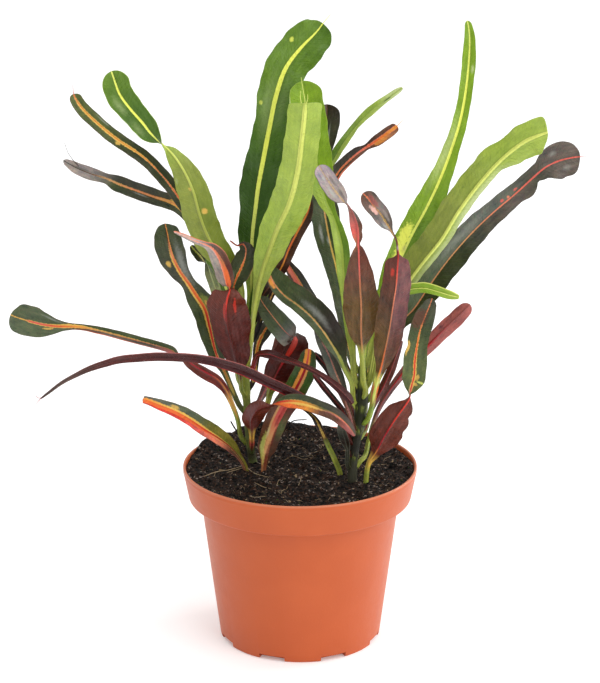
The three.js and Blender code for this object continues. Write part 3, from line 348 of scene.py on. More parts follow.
        (81.9, 76.3, -10, 9), (87.4, 81.3, -11, 9), (91.3, 85.2, -12, 8), (94.7, 88.6, -12, 1),
    ], "tip": (1, 4, 1.7)},
    "leaf_right_purple": {"on": ("right", 0.26, 75), "turn": 180, "rows": [
        (36.5, 19, -9, 2.6), (38.5, 27.5, -4, 3), (41.8, 35, -1, 4), (45.7, 41.8, 0, 5), (50, 50.7, 1, 5),
        (53.5, 60.2, 1, 4), (56.8, 68.5, 1, 1),
    ]},
    "leaf_low_grey": {"on": ("right", 0.1, 225), "turn": 30, "rows": [
        (26.5, 7.5, -27, 2.4, 20), (24.7, 14.5, -29, 6), (23.3, 19, -31, 5), (22.3, 23.5, -32, 1),
    ]},
    "leaf_front_crossing": {"on": ("left", 0.1, 285), "rows": [
        (-26.7, 13.9, -3, 3, 180), (-26.7, 18.4, -5, 4, 180), (-26.7, 25, -8, 12, 180),
        (-24, 29.5, -11, 11, 180), (-20, 31.7, -14, 7, 170), (-15.6, 32.9, -17, 2.5, 95),
        (-10.6, 34.5, -20, 5, 20), (-4.5, 35, -23, 8), (2.8, 34, -26, 8.5), (11, 31.2, -29, 8),
        (19.5, 27.3, -32, 7.5), (26.2, 21.7, -35, 6), (30.6, 15.6, -36, 1),
    ]},
    "leaf_front_salmon": {"root": (-20, -8.5), "rows": [
        (-19.3, 4.5, -8.5, 6), (-18.4, 9, -8, 10.5), (-15.6, 18.4, -8, 12), (-11.7, 27.3, -9, 12.5),
        (-7.8, 34, -9, 13), (-3.3, 40, -9, 13), (0.6, 47.3, -8, 13), (3.3, 54, -7, 11.5),
        (4.5, 59.6, -6, 9), (5, 64, -5, 6),
    ], "tip": (1, 5, 1.9)},
    "leaf_mid_folded": {"on": ("left", 0.26, 25), "turn": 180, "rows": [
        (-22.5, 27, 8, 2.8), (-18.4, 33, 9, 3), (-16.7, 40, 8, 4), (-14, 47.9, 6, 16),
        (-9.5, 56.3, 5, 19.5), (-5.5, 62.6, 4, 19), (-3.2, 66.8, 2.6, 16), (-2.8, 69, 1.8, 12, 168),
        (-3.4, 70.6, 1.2, 8.5, 100), (-5, 70.9, 0.8, 12.5, 20), (-7.6, 73, 1, 13.5, 0),
        (-11.7, 77.6, 2, 13, 0), (-16.7, 84, 2, 11.5, 0), (-20.4, 89, 2, 9, 0), (-22.6, 93, 2, 6, 0),
    ], "tip": (1, 4, 1.9), "lopsided": (0.58, 1.2, 0.85), "nicks": [(0.42, -1, 0.08, 2.5)]},
    "leaf_low_strap": {"on": ("right", 0.22, 205), "turn": 180, "rows": [
        (22.3, 23, -22, 2.3), (13.9, 29, -18, 3.1), (5.6, 33.5, -16, 4.7), (-2.2, 38.2, -16, 5.6),
        (-9.5, 41.8, -17, 5.8), (-16.7, 45, -18, 6), (-25, 49, -19, 6), (-33.4, 52.6, -21, 5.9),
        (-44.6, 56, -24, 5.4), (-55.7, 58.3, -28, 5), (-66.8, 59.2, -32, 4.9), (-78, 59.6, -37, 4.8),
        (-89, 59, -42, 4.6), (-100.3, 57.9, -46, 4.2), (-108.6, 55.7, -49, 3.8), (-117, 52.9, -51, 3.2),
        (-125.3, 49, -53, 2.5), (-132.6, 45, -54, 2), (-139.3, 40, -55, 1.6), (-144.3, 36.2, -56, 0.8),
    ], "tip": (1, 1, 2), "hairs": [
        [(-143.6, 36.8, -56), (-145.6, 36.6, -56), (-147.2, 38.6, -56)],
        [(-144.2, 36.3, -56), (-145.8, 34.6, -56), (-147, 33.2, -56)],
    ]},
    "leaf_mid_red": {"on": ("left", 0.64, 325), "turn": 170, "rows": [
        (-23.5, 60.5, 0, 3.2, 175), (-17.5, 61, -4, 5.2, 175), (-11, 59, -7, 4.8), (-2.8, 56.3, -14, 3.2),
        (5.6, 52.9, -19, 3), (13.9, 47.9, -24, 3.6), (21.2, 42.3, -28, 4.6), (26.2, 37.3, -30, 5),
        (29.5, 33.4, -31, 1),
    ]},
    "leaf_mid_dark": {"on": ("right", 0.32, 190), "turn": 180, "rows": [
        (25, 27.5, -15, 3.2), (19.5, 35, -13, 3.5), (13.9, 41.8, -12, 3.5), (9.8, 46.9, -13, 3),
        (7.2, 49.8, -13, 1),
    ]},
    "leaf_mid_black": {"on": ("right", 0.5, 130), "turn": 180, "rows": [
        (27, 34, -8, 3), (22.3, 40.7, -6, 4), (15.6, 52.9, -4, 4.5), (11, 58.5, -3, 4), (7.8, 61.8, -2, 1),
    ]},
    "leaf_mid_grey": {"on": ("right", 0.42, 235), "turn": 10, "rows": [
        (27.9, 27.5, -23, 2.8), (25.6, 34, -21, 3.5), (22.8, 43.4, -18, 6.5), (19.5, 51.8, -16, 7.5),
        (16.2, 60.2, -13, 7.5), (12.3, 68, -10, 6), (8.4, 76.3, -8, 1),
    ]},
    "leaf_mid_glossy": {"on": ("right", 0.62, 205), "rows": [
        (28.5, 45, -21, 3), (25.2, 51.8, -20.5, 3.2), (22.4, 58.4, -20, 6), (18.2, 65.6, -18, 12),
        (12.8, 73.8, -16, 14), (6.2, 81.8, -13, 14.5), (-1.4, 88.4, -10, 14), (-8.8, 93.8, -6, 13),
        (-14, 99.8, -3, 12), (-17, 105.8, -2, 8), (-18.2, 109.6, -1, 2),
    ], "tip": (1, 3.5, 1.8), "lopsided": (1.1, 0.56, 1.42)},
    "leaf_mid_pink": {"on": ("right", 0.7, 150), "rows": [
        (26.5, 52.5, -5, 3), (19.5, 65.7, 1, 5), (11, 80.8, 5, 8), (4.5, 91.9, 8, 9), (-1.1, 102, 10, 8.5),
        (-5.6, 109.2, 11, 6), (-9.5, 115.3, 11, 1),
    ], "tip": (1, 4, 1.8)},
    "leaf_mid_orange_edge": {"on": ("left", 0.98, 350), "rows": [
        (-20.6, 93.6, 7, 4), (-15, 101, 5, 6), (-9.8, 110.3, 4, 7), (-6, 119.8, 2, 7.6),
        (-1, 129.8, -2, 7.6), (4.2, 139.8, -6, 6), (5.6, 146, -9, 3), (5.4, 150.5, -12, 1),
    ]},
    "leaf_mid_small": {"on": ("left", 0.54, 20), "rows": [
        (-23.4, 66, 12, 5), (-20, 73.5, 16, 8), (-16.7, 78.5, 17, 6), (-13.4, 83, 18, 1),
    ]},
    "leaf_low_spoon": {"on": ("left", 0.16, 180), "rows": [
        (-34.5, 24.5, 3, 2.8, 180), (-37.3, 32.3, -1, 3, 180), (-41, 40.7, -4, 4.5, 180),
        (-45.7, 46.8, -5, 7, 180), (-53, 51.2, -5, 7.5, 180), (-59.6, 55, -4, 6, 175),
        (-65.7, 59, -2, 4, 90), (-71.3, 63, 1, 5, 10), (-78, 65.2, 5, 5), (-94.7, 69.6, 9, 5.3),
        (-111.4, 74, 13, 4.6), (-119.8, 75.8, 15, 3.6), (-124.8, 76.3, 16, 3.6), (-130.3, 76.4, 17, 5),
        (-136.5, 76.6, 18.5, 9.2), (-142.6, 77.4, 19.3, 14.6), (-148.6, 78.8, 20.2, 17.4),
        (-154, 80.4, 21, 17), (-158.8, 82, 22, 15), (-161, 83, 22, 14),
    ], "tip": (1, 6.8, 2), "lopsided": (0.7, 0.62, 1.1)},
    "leaf_low_cut": {"root": (-30, -8.5), "rows": [
        (-33.5, 3.5, -10, 3.4), (-39, 9.5, -13, 7), (-45.7, 14.5, -17, 9.5), (-53, 19, -22, 9.8),
        (-61.3, 24.5, -27, 9), (-69.6, 29, -32, 8), (-78, 32.3, -36, 6.5), (-83.5, 34.5, -39, 5),
        (-87.4, 35.6, -41, 4.2),
    ], "tip": (1, 0.5, 4), "lopsided": (1.1, 0.72, 1.16)},
    "leaf_low_edge_on": {"root": (22, -14), "rows": [
        (19, 3, -15, 3), (16.7, 8, -15, 2.8), (13.4, 15, -15, 2.6), (11, 20.5, -15, 3.4, 20),
        (9, 24.8, -15, 5, 55), (5.6, 28.4, -15, 4.5, 65), (0, 31.7, -15.5, 1, 70),
    ]},
    "leaf_back_centre": {"on": ("left", 0.76, 95), "rows": [
        (-26, 78, 22, 4), (-20, 100, 40, 10), (-14, 122, 56, 14), (-6, 142, 70, 15), (0, 158, 82, 13),
        (2, 170, 92, 8), (2, 178, 98, 1),
    ]},
    "leaf_back_left": {"on": ("left", 0.45, 110), "rows": [
        (-32, 50, 16, 3), (-36, 62, 30, 8), (-39, 72, 46, 13), (-41, 81, 62, 14), (-42, 87, 78, 9),
        (-41, 90, 90, 1),
    ]},
    "leaf_back_left_high": {"on": ("left", 0.68, 120), "rows": [
        (-33, 74, 24, 4), (-42, 100, 46, 9), (-51, 123, 60, 12), (-57, 142, 70, 12), (-63, 156, 80, 8),
        (-67, 164, 86, 1),
    ]},
    "leaf_back_right": {"on": ("right", 0.55, 85), "rows": [
        (36, 44, -2, 3), (38, 58, 16, 7), (40, 70, 34, 11), (45, 83, 52, 13), (50, 94, 68, 12),
        (52, 102, 82, 7), (53, 106, 92, 1),
    ]},
    "leaf_back_right_high": {"on": ("right", 0.88, 95), "rows": [
        (37, 68, 2, 4), (46, 94, 22, 8), (60, 116, 42, 12), (72, 132, 58, 13), (84, 143, 72, 11),
        (92, 149, 82, 6), (96, 151, 88, 1),
    ]},
    "leaf_back_middle": {"on": ("right", 0.65, 120), "rows": [
        (30.5, 50, -2, 3), (27, 68, 16, 7), (25, 86, 34, 11), (22, 104, 50, 13), (18, 120, 64, 12),
        (15, 132, 76, 7), (13, 138, 84, 1),
    ]},
    "leaf_back_low": {"on": ("left", 0.3, 95), "turn": 180, "rows": [
        (-24, 33, 15, 3), (-18, 44, 28, 6), (-13, 56, 40, 10), (-10, 67, 51, 10), (-9, 77, 60, 6),
        (-10, 83, 65, 1),
    ]},
}

# Pigments, as they look in soft daylight
PIGMENTS = {
    "pitch": "1a1512", "soot": "302721", "ash": "47473a", "slate": "62655a", "smoke": "8c8078",
    "dusk": "61564e", "dove": "a79a92", "silver": "b9bcb4", "mauve": "b2a1a6", "night_green": "383e24",
    "deep_green": "455031", "bottle": "5a6449", "moss": "5f693c", "ivy": "3b580a", "fern": "4b6d18",
    "leaf": "64852a", "grass": "84a62e", "lime": "9bb346", "pale": "a6bd52", "milky": "d2dea2",
    "stalk": "aab350", "butter": "e0e974", "lemon": "f4f96a", "pea": "78872e", "olive": "8c9843",
    "khaki": "7b7434", "bronze": "664c2a", "umber": "6b4636", "cocoa": "57392a", "mulberry": "683429",
    "wine": "56271f", "maroon": "742c26", "plum": "7a5050", "rose": "a45d58", "gold": "ecbe5c",
    "amber": "f0993f", "tan": "dba068", "clay": "b7774f", "orange": "ea6f36", "salmon": "ec8666",
    "coral": "df6057", "scarlet": "d83d2f", "crimson": "a2252c", "blush": "efb9aa", "straw": "b3a283",
    "garnet": "451a1c", "peat": "221b18", "humus": "4b3e36", "thatch": "a08a6c",
}

# How the two faces of each kind of leaf are marked. "left" and "right" are the halves that someone
# looking at that face sees with the tip up, and "ground" is both. A run of words is read from stalk to
# tip: pigment@share of the length, or pigment*width in millimetres@share. "rib" is the midrib's band,
# "by" a band beside it and "edge" the margin, each with "_left" and "_right" where the halves differ.
KINDS = {
    "fresh": {"upper": {
        "ground": "lime@.1 fern@.3 leaf@.6 grass@1", "rib": "stalk*1.2@.1 butter*1.5@.4 butter*.6@.97",
    }, "under": {
        "ground": "stalk@.1 olive@.3 lime@.8 pale@1", "rib": "stalk*1.6@.1 butter*1.6@.5 butter*.6@.97",
    }},
    "dark": {"upper": {
        "ground": "stalk@.06 moss@.16 deep_green@.3 night_green@.7 deep_green@1",
        "rib": "stalk*1.2@.1 amber*1@.3 orange*1@.6 coral*.4@.97",
        "by": "gold*.3@.2 gold*.5@.6 gold*.1@.95", "edge": "umber*.12",
    }, "under": {
        "ground": "stalk@.06 olive@.16 bronze@.3 umber@.7 mulberry@1",
        "rib": "stalk*1.2@.1 clay*1.2@.3 coral*1@.7 rose*.5@.97",
    }},
    "ember": {"upper": {
        "ground": "olive@.05 moss@.2 deep_green@.5 deep_green@1",
        "rib": "clay*1.6@.1 orange*2@.4 coral*1.2@.8 coral*.5@.97",
        "by": "gold*.8@.3 gold*1@.7 amber*.3@.95", "edge": "maroon*.12",
    }, "under": {
        "ground": "stalk@.06 olive@.14 mulberry@.22 mulberry@1",
        "rib": "gold*1.2@.1 crimson*1@.3 rose*.6@.9",
    }},
    "wine": {"upper": {
        "ground": "olive@.05 wine@.2 ash@.6 deep_green@1", "rib": "rose*1@.1 scarlet*1.2@.5 crimson*.5@.97",
    }, "under": {
        "ground": "olive@.04 mulberry@.14 wine@.4 mulberry@1", "rib": "rose*1@.1 crimson*1@.5 rose*.5@.95",
    }},
}

# What sets a single leaf apart from its kind. "patches" are (share of the length, place across from -1
# at the left edge to 1 at the right, length, width, pigment, strength), "stalk" is how far the plain stalk
# reaches, as a share of the whole, and "slot" is given where it isn't the kind's. Patches in the sheen
# pigments below, and the few marked where they stand, are painted highlights.
USUAL_STALK = 0.1
LOOKS = {
    "leaf_tall_centre": {"kind": "fresh", "upper": {
        "left": "lime@.1 ivy@.2 ivy@.47 fern@.56 leaf@.7 leaf@1",
        "right": "fern@.1 ivy@.2 ivy@.45 fern@.58 fern@.7 leaf@.8 fern@1",
        "rib": "stalk*1.6@.12 butter*2@.3 lemon*2.5@.5 lemon*2.5@.75 lemon*1.8@.86 lemon*.7@.95",
        "patches": [
            (0.66, -0.4, 22, 4, "milky", 0.18), (0.68, 0.35, 18, 4, "milky", 0.12),
            (0.865, -0.6, 1.3, 1.2, "lemon", 0.7), (0.67, -0.75, 1.2, 1, "lemon", 0.5),
        ],
    }},
    "leaf_front_pale": {"kind": "fresh", "under": {
        "left": "stalk@.15 olive@.26 lime@.45 pale@.65 pale@1",
        "right": "stalk@.15 olive@.3 lime@.55 pale@.8 pale@1",
        "rib": "stalk*2@.15 stalk*2.4@.4 butter*2.8@.65 butter*2.6@.9 pale*1@.95",
    }},
    "leaf_left_spoon": {"kind": "fresh", "under": {
        "left": "stalk@.12 olive@.2 olive@.6 lime@.72",
        "right": "stalk@.12 pea@.2 pea@.45 olive@.62 lime@.72",
        "rib": "stalk*1.6@.15 stalk*1.6@.5 butter*1@.7",
        "patches": [
            (0.45, 0.38, 2.0, 1.7, "gold", 0.8), (0.535, -0.15, 1.1, 0.8, "gold", 0.5),
            (0.575, -0.85, 2.5, 1, "milky", 0.3),
        ],
    }, "upper": {
        "ground": "fern@.7 fern@.85 leaf@1", "rib": "butter*.8@.7 lemon*1.4@.8 lemon*1.2@.93 butter*.8@1",
        "edge": "lime*.25",
        "patches": [(0.89, -0.5, 7, 2.4, "milky", 0.25), (0.8, -0.6, 7, 2.4, "milky", 0.2)],
    }},
    "leaf_left_amber": {"kind": "dark", "upper": {
        "ground": "deep_green@.2 night_green@.5 night_green@.7 moss@.85 moss@1",
        "rib": "orange*1@.46 coral*.5@.56 orange*.4@.66 orange*.4@.74 orange*.4@.9 coral*.4@.97",
        "by_left": "gold*.1@.45 gold*.2@.65 gold*.8@.74 gold*.7@.93 amber*.2@.97",
        "by_right": "gold*.3@.46 gold*.1@.6 gold*.7@.72 gold*.5@.94 amber*.1@.97", "edge_left": "umber*.2",
        "patches": [(0.76, -0.4, 1.6, 1.1, "gold", 0.8), (0.84, 0.75, 6, 0.6, "silver", 0.4)],
    }},
    "leaf_left_pale_tip": {"kind": "dark", "upper": {
        "left": "deep_green@.5 ash@.7 deep_green@.8 dove@.9 dove@1",
        "right": "night_green@.5 ash@.7 ash@.8 dove@.9 dove@1",
        "rib": "amber*1.6@.52 tan*.8@.62 salmon*.7@.72 tan*.8@.82 umber*.6@.89 soot*.5@.97",
        "by": "gold*.6@.54 amber*.2@.65 gold*.2@.78 silver*.1@.9",
        "patches": [
            (0.58, 0.3, 2, 0.6, "gold", 0.6), (0.7, -0.3, 5, 0.6, "silver", 0.4),
            (0.93, 0.2, 6, 0.7, "ash", 0.5),
        ],
    }},
    "leaf_left_dark_spoon": {"kind": "dark", "upper": {
        "ground": "moss@.12 deep_green@.3 deep_green@.6 ash@.75 deep_green@1",
        "rib": "stalk*1@.1 scarlet*1@.3 scarlet*1.4@.5 orange*1.6@.6 orange*1.2@.76 salmon*.8@.85 "
        "umber*.4@.94",
        "by_left": "gold*.2@.35 gold*1@.5 gold*.8@.7 gold*.7@.84 umber*.1@.92",
        "by_right": "gold*.2@.3 amber*.4@.7", "edge_right": "slate*.2",
        "patches": [
            (0.79, 0.5, 15, 2.6, "silver", 0.5), (0.815, -0.5, 1.8, 1.3, "gold", 0.8),
            (0.57, 0.4, 6, 2, "olive", 0.8), (0.565, 0.35, 2.4, 1, "gold", 0.8),
        ],
    }},
    "leaf_left_folded": {"kind": "wine", "under": {
        "left": "olive@.08 wine@.16 wine@.35 mulberry@.55",
        "right": "olive@.08 wine@.16 wine@.4 mulberry@.56",
        "rib": "garnet*.5@.2 maroon*.4@.4 crimson*.6@.46 scarlet*1.1@.52 scarlet*1.1@.58",
        "patches": [(0.5, 0.42, 6, 0.8, "scarlet", 0.7), (0.47, -0.1, 6, 0.6, "scarlet", 0.6)],
    }, "upper": {
        "left": "smoke@.6 smoke@.7 dove@.78 dove@1",
        "right": "umber@.58 umber@.64 wine@.7 umber@.76 dusk@.82 silver@.9 silver@1",
        "rib": "scarlet*.7@.58 orange*.9@.64 salmon*.8@.75 salmon*.4@.84 blush*.3@1",
        "by_left": "salmon*.3@.62 blush*.2@.8",
        "by_right": "orange*2@.6 orange*1.8@.68 clay*1.2@.74 salmon*.4@.8 blush*.2@.95",
        "edge_right": "umber*.1@.7 salmon*.5@.8 salmon*.5@1",
    }},
    "leaf_left_hood": {"kind": "dark", "upper": {
        "left": "bottle@.45 deep_green@.6 night_green@.8 soot@.95",
        "right": "deep_green@.5 night_green@.8 soot@.95",
        "rib": "orange*.4@.45 scarlet*.5@.55 orange*1@.64 orange*.9@.72 salmon*.4@.8 crimson*.4@.9",
        "by": "gold*.1@.5 gold*.2@.7 amber*.1@.82", "edge_right": "umber*.1@.6 clay*.2@.72 umber*.1@.85",
        "patches": [(0.6, -0.5, 5, 1.6, "silver", 0.35)],
    }},
    "leaf_left_slim": {"kind": "dark", "under": {
        "ground": "stalk@.2 pale@.4 milky@.65 bottle@.85", "rib": "butter*.9@.3 milky*.8@.8",
    }, "upper": {
        "ground": "ash@.7 night_green@.85 night_green@1", "rib": "milky*.7@.8 pale*.6@.95",
        "edge": "slate*.2",
    }},
    "leaf_centre_green": {"kind": "fresh", "stalk": 0.14, "upper": {
        "left": "stalk@.1 lime@.2 pale@.3 pale@.5 lime@.6 grass@.75 grass@1",
        "right": "stalk@.1 lime@.2 leaf@.45 grass@.75 grass@1",
        "rib": "stalk*1.2@.15 lime*1.2@.5 grass*.8@.9",
        "edge_left": "lime*.3@.8 milky*.9@.87 milky*.6@.93 lime*.3@.97", "edge_right": "lime*.2",
    }},
    "leaf_centre_dark": {"kind": "dark", "upper": {
        "left": "stalk@.1 bottle@.17 deep_green@.5 bottle@.62 ash@.72 soot@.8 dusk@.97",
        "right": "stalk@.1 deep_green@.17 deep_green@.55 ash@.65 soot@.75 ash@.9 soot@1",
        "rib": "stalk*1.6@.1 butter*1@.2 gold*.8@.4 tan*.7@.62 umber*.5@.8",
        "by": "olive*.3@.2 olive*.2@.5 umber*.1@.8", "edge": "slate*.15",
        "patches": [
            (0.53, -0.5, 6, 1.2, "silver", 0.7), (0.5, -0.1, 3, 1, "silver", 0.5),
            (0.88, 0.3, 8, 0.7, "silver", 0.5), (0.82, -0.3, 5, 0.6, "mauve", 0.5),
        ],
    }},
    "leaf_far_green": {"kind": "fresh", "upper": {
        "left": "leaf@.2 leaf@.7 lime@.9 milky@1", "right": "pale@.2 lime@.7 pale@.9 milky@1",
        "rib": "stalk*.6@.2 pale*.6@.9",
        "patches": [(0.935, 0.2, 3, 0.7, "ivy", 0.9)],
    }},
    "leaf_far_amber": {"kind": "dark", "upper": {
        "left": "soot@.3 soot@.55 ash@.68 soot@.8 umber@.95",
        "right": "pitch@.3 soot@.5 ash@.62 umber@.8 cocoa@.86 clay@.92 umber@1",
        "rib": "tan*.3@.3 umber*.4@.5 orange*.5@.65 coral*.4@.8 orange*1.2@.88 amber*1.6@.94",
        "by": "gold*.2@.5 salmon*.3@.8", "edge_right": "umber*.1@.5 coral*.6@.56 salmon*.9@.7 umber*.2@.8",
        "patches": [(0.6, 0.4, 1.6, 1, "gold", 0.8), (0.89, 0.45, 5, 1.2, "amber", 0.7)],
    }},
    "leaf_right_twisted": {"kind": "dark", "slot": "leaf_olive", "under": {
        "left": "stalk@.08 stalk@.215 bronze@.25 bronze@.42 umber@.52 umber@.62 clay@.66 coral@.7 rose@.76 "
        "umber@.82",
        "right": "stalk@.08 stalk@.215 bronze@.25 bronze@.4 umber@.52 mulberry@.62 umber@.7 soot@.8",
        "rib": "stalk*2@.2 clay*1@.26 clay*1@.48 coral*.9@.57 coral*.9@.62 coral*1.2@.68 rose*1@.8",
    }, "upper": {
        "ground": "mauve@.8 dove@.88 mauve@1", "rib": "mauve*.3@.8 dove*.3@.95", "edge_left": "dusk*.3",
        "patches": [
            (0.89, -0.4, 5, 0.9, "silver", 0.8), (0.86, 0.4, 4, 0.8, "dusk", 0.5),
            (0.93, 0.35, 3.4, 0.8, "dusk", 0.5), (0.95, -0.3, 3, 0.8, "silver", 0.7),
        ],
    }},
    "leaf_right_threaded": {"kind": "dark", "slot": "leaf_plum", "under": {
        "left": "lime@.08 coral@.165 butter@.2 bronze@.25 bronze@.4 cocoa@.55 mulberry@.7 wine@.78",
        "right": "lime@.08 orange@.165 butter@.2 bronze@.25 umber@.35 plum@.5 plum@.7 maroon@.78",
        "rib": "butter*1.6@.2 orange*1@.27 clay*.8@.4 salmon*.6@.6 scarlet*.9@.68 maroon*.6@.8",
        "patches": [(0.672, -0.35, 2.4, 1.1, "scarlet", 0.7), (0.77, 0, 2, 1, "mauve", 0.8)],
    }, "upper": {
        "left": "dove@.82 smoke@.88 dusk@.93 umber@1", "right": "dusk@.82 dusk@.88 smoke@.92 umber@1",
        "rib": "rose*.4@.83 dusk*.3@.88 rose*.4@.93 coral*.5@.97", "edge_right": "dusk*.3",
        # The blush blotch near the tip is a painted highlight
        "patches": [
            (0.93, -0.3, 3.4, 1.1, "blush", 0.9), (0.955, 0.3, 4, 1.4, "rose", 0.8),
            (0.86, -0.45, 3, 0.8, "silver", 0.6), (0.89, 0.5, 3.4, 0.8, "dove", 0.6),
        ],
    }},
    "leaf_tall_right": {"kind": "fresh", "upper": {
        "left": "stalk@.06 grass@.15 grass@.5 lime@.62 grass@.75 grass@1",
        "right": "stalk@.06 grass@.15 leaf@.4 grass@.6 grass@1",
        "rib": "stalk*1@.1 butter*1.2@.3 lemon*1.6@.6 lemon*1.4@.8 butter*.8@.96",
        "patches": [
            (0.63, -0.55, 24, 3, "milky", 0.4), (0.87, 0.6, 3, 1.2, "milky", 0.6),
            (0.385, -0.42, 7, 3.4, "lemon", 1.0), (0.335, -0.3, 8, 2.6, "lemon", 1.0),
            (0.35, -0.1, 3, 1.4, "smoke", 0.4),
        ],
    }},
    "leaf_right_pale": {"kind": "fresh", "under": {
        "left": "stalk@.1 olive@.2 olive@.6 lime@.85 pale@1",
        "right": "stalk@.1 olive@.2 lime@.6 pale@.9 pale@1",
        "rib": "stalk*1.4@.1 butter*1.5@.3 butter*2@.6 butter*2@.95 butter*1.2@1",
        "patches": [(0.45, 0.85, 34, 2.4, "milky", 0.6), (0.68, 0.8, 34, 2.6, "milky", 0.75)],
    }},
    "leaf_right_long_dark": {"kind": "dark", "upper": {
        "left": "olive@.1 deep_green@.25 bottle@.42 slate@.6 slate@.72 ash@.8 dusk@.89 dusk@1",
        "right": "olive@.1 night_green@.25 night_green@.5 ash@.6 dusk@.74 ash@.84 dusk@.9 dusk@1",
        "rib": "stalk*.8@.1 clay*.6@.3 tan*.6@.55 salmon*.6@.68 coral*.8@.81 coral*.8@.86 coral*.7@.975",
        "by": "clay*.1", "edge": "pitch*.1",
        "patches": [
            (0.71, -0.3, 1.2, 0.8, "coral", 0.9), (0.73, -0.2, 0.9, 0.8, "salmon", 0.9),
            (0.76, -0.35, 1.4, 0.6, "coral", 0.7), (0.55, -0.45, 20, 2.4, "silver", 0.25),
            (0.93, 0.5, 3, 2, "silver", 0.3), (0.9, -0.5, 2.5, 1.6, "silver", 0.3),
        ],
    }},
    "leaf_right_bright": {"kind": "fresh", "upper": {
        "ground": "stalk@.2 lime@.45 grass@.8 lime@1", "rib": "butter*.6@.3 butter*.5@.95",
        "edge_left": "butter*.5",
    }},
    "leaf_front_waisted": {"kind": "wine", "stalk": 0.13, "under": {
        "ground": "stalk@.1 gold@.17 mulberry@.21 mulberry@.5",
        "rib": "gold*1@.17 crimson*.8@.25 crimson*.9@.34 scarlet*.9@.42 scarlet*.9@.52",
    }, "upper": {
        "ground": "moss@.54 moss@.65 deep_green@.85 ash@1",
        "rib": "silver*.6@.53 scarlet*.8@.58 scarlet*.9@.72 orange*.5@.82 coral*.3@.97",
        "by_left": "silver*.6@.54 gold*.3@.6 amber*.4@.7 amber*.1@.9",
        "by_right": "salmon*.4@.55 gold*.8@.62 gold*.3@.75 gold*.1@.9",
        "patches": [
            (0.77, -0.85, 4, 0.8, "gold", 0.8), (0.64, 0.3, 1.8, 1, "gold", 0.7),
            (0.61, 0.3, 1.1, 1.4, "gold", 0.7), (0.625, 0.7, 0.6, 2, "butter", 0.8),
            (0.9, -0.5, 6, 4, "mulberry", 0.6),
        ],
    }},
    "leaf_right_rose": {"kind": "wine", "stalk": 0.22, "under": {
        "ground": "stalk@.1 stalk@.2 plum@.28 plum@.45 rose@.6 rose@1",
        "rib": "stalk*.8@.15 rose*.6@.3 crimson*1@.5 scarlet*2@.62 crimson*1.6@.74 rose*.5@.9",
    }},
    "leaf_right_purple": {"kind": "wine", "stalk": 0.18, "under": {
        "ground": "stalk@.2 plum@.35 mulberry@.7 plum@1",
    }},
    "leaf_low_grey": {"kind": "dark", "upper": {
        "ground": "ash@.3 soot@.6 slate@1", "rib": "slate*.3@.3 slate*.3@.9", "by": "slate*.1",
        "edge": "slate*.3",
    }},
    "leaf_front_crossing": {"kind": "ember", "stalk": 0.03, "under": {
        "ground": "moss@.03 coral@.09 gold@.13 gold@.17 mulberry@.2 mulberry@.5",
        "rib": "maroon*.6@.2 maroon*.6@.45",
        # The plum blotches are painted highlights
        "patches": [(0.3, -0.4, 6, 2.5, "plum", 0.6), (0.22, 0.3, 6, 2, "plum", 0.4)],
    }, "upper": {
        "left": "moss@.45 deep_green@.55 ash@.8 dusk@.92",
        "right": "salmon@.42 orange@.5 orange@.6 amber@.68 umber@.76 cocoa@.86 rose@.95",
        "rib": "scarlet*.8@.45 scarlet*1@.55 amber*1.2@.64 moss*.8@.77 salmon*.8@.88 rose*.6@1",
        "by_left": "moss*.2@.5 gold*.3@.6 moss*.2@.75",
        "by_right": "orange*.6@.5 gold*1.4@.62 gold*1.2@.72 rose*.4@.8",
    }},
    "leaf_front_salmon": {"kind": "ember", "stalk": 0.02, "upper": {
        "left": "umber@.12 cocoa@.3 umber@.55 moss@.68 ivy@.76 deep_green@1",
        "right": "cocoa@.12 cocoa@.3 moss@.42 mulberry@.55 wine@.64 ivy@.76 deep_green@1",
        "rib": "umber*1.2@.05 tan*2.2@.2 tan*2.6@.32 coral*3@.48 coral*3@.6 crimson*1.6@.72 "
        "crimson*1.4@.85 coral*.8@.96",
        "by_left": "clay*.8@.25 tan*1.2@.45 tan*1@.6 amber*1.8@.75 amber*1.6@.92",
        "by_right": "clay*.4@.25 coral*.8@.5 salmon*.8@.62 tan*1.4@.76 amber*1@.92",
        "edge_left": "umber*.2", "edge_right": "umber*.15",
        "patches": [
            (0.24, -0.5, 9, 1.4, "butter", 0.5), (0.36, -0.3, 5, 0.8, "milky", 0.6),
            (0.2, 0.2, 7, 0.8, "maroon", 0.7), (0.33, 0.35, 6, 0.7, "maroon", 0.6),
            (0.45, 0.1, 5, 0.7, "crimson", 0.6), (0.52, 0.2, 8, 1, "crimson", 0.5),
            (0.14, 0.2, 6, 1, "maroon", 0.6),
        ],
    }},
    "leaf_mid_folded": {"kind": "wine", "stalk": 0.24, "under": {
        "ground": "stalk@.1 stalk@.26 wine@.36 wine@.62 dusk@.72",
        "rib": "stalk*1@.15 maroon*.8@.35 crimson*1@.44 scarlet*3@.56 coral*3.4@.66",
        "patches": [(0.7, 0, 3, 5, "smoke", 0.6)],
    }, "upper": {
        "ground": "smoke@.68 slate@.73 deep_green@.8 night_green@1",
        "rib": "rose*.5@.7 clay*.6@.8 clay*.5@.93",
        "patches": [(0.7, 0.2, 3, 3, "smoke", 0.5)],
    }},
    "leaf_low_strap": {"kind": "wine", "stalk": 0.05, "under": {
        "ground": "garnet@.1 garnet@.5 wine@.8 dusk@.97", "rib": "garnet*.4@.3 garnet*.3@.8",
        "edge_left": "crimson*.4@.2 crimson*.5@.4 wine*.2@.6",
        "edge_right": "crimson*.2@.2 rose*.4@.38 rose*.5@.6 rose*.2@.8 rose*.1@.9",
    }},
    "leaf_mid_red": {"kind": "wine", "under": {
        "ground": "crimson@.06 maroon@.16 garnet@.3 wine@.6 garnet@1", "rib": "crimson*.3@.3 rose*.2@.9",
    }},
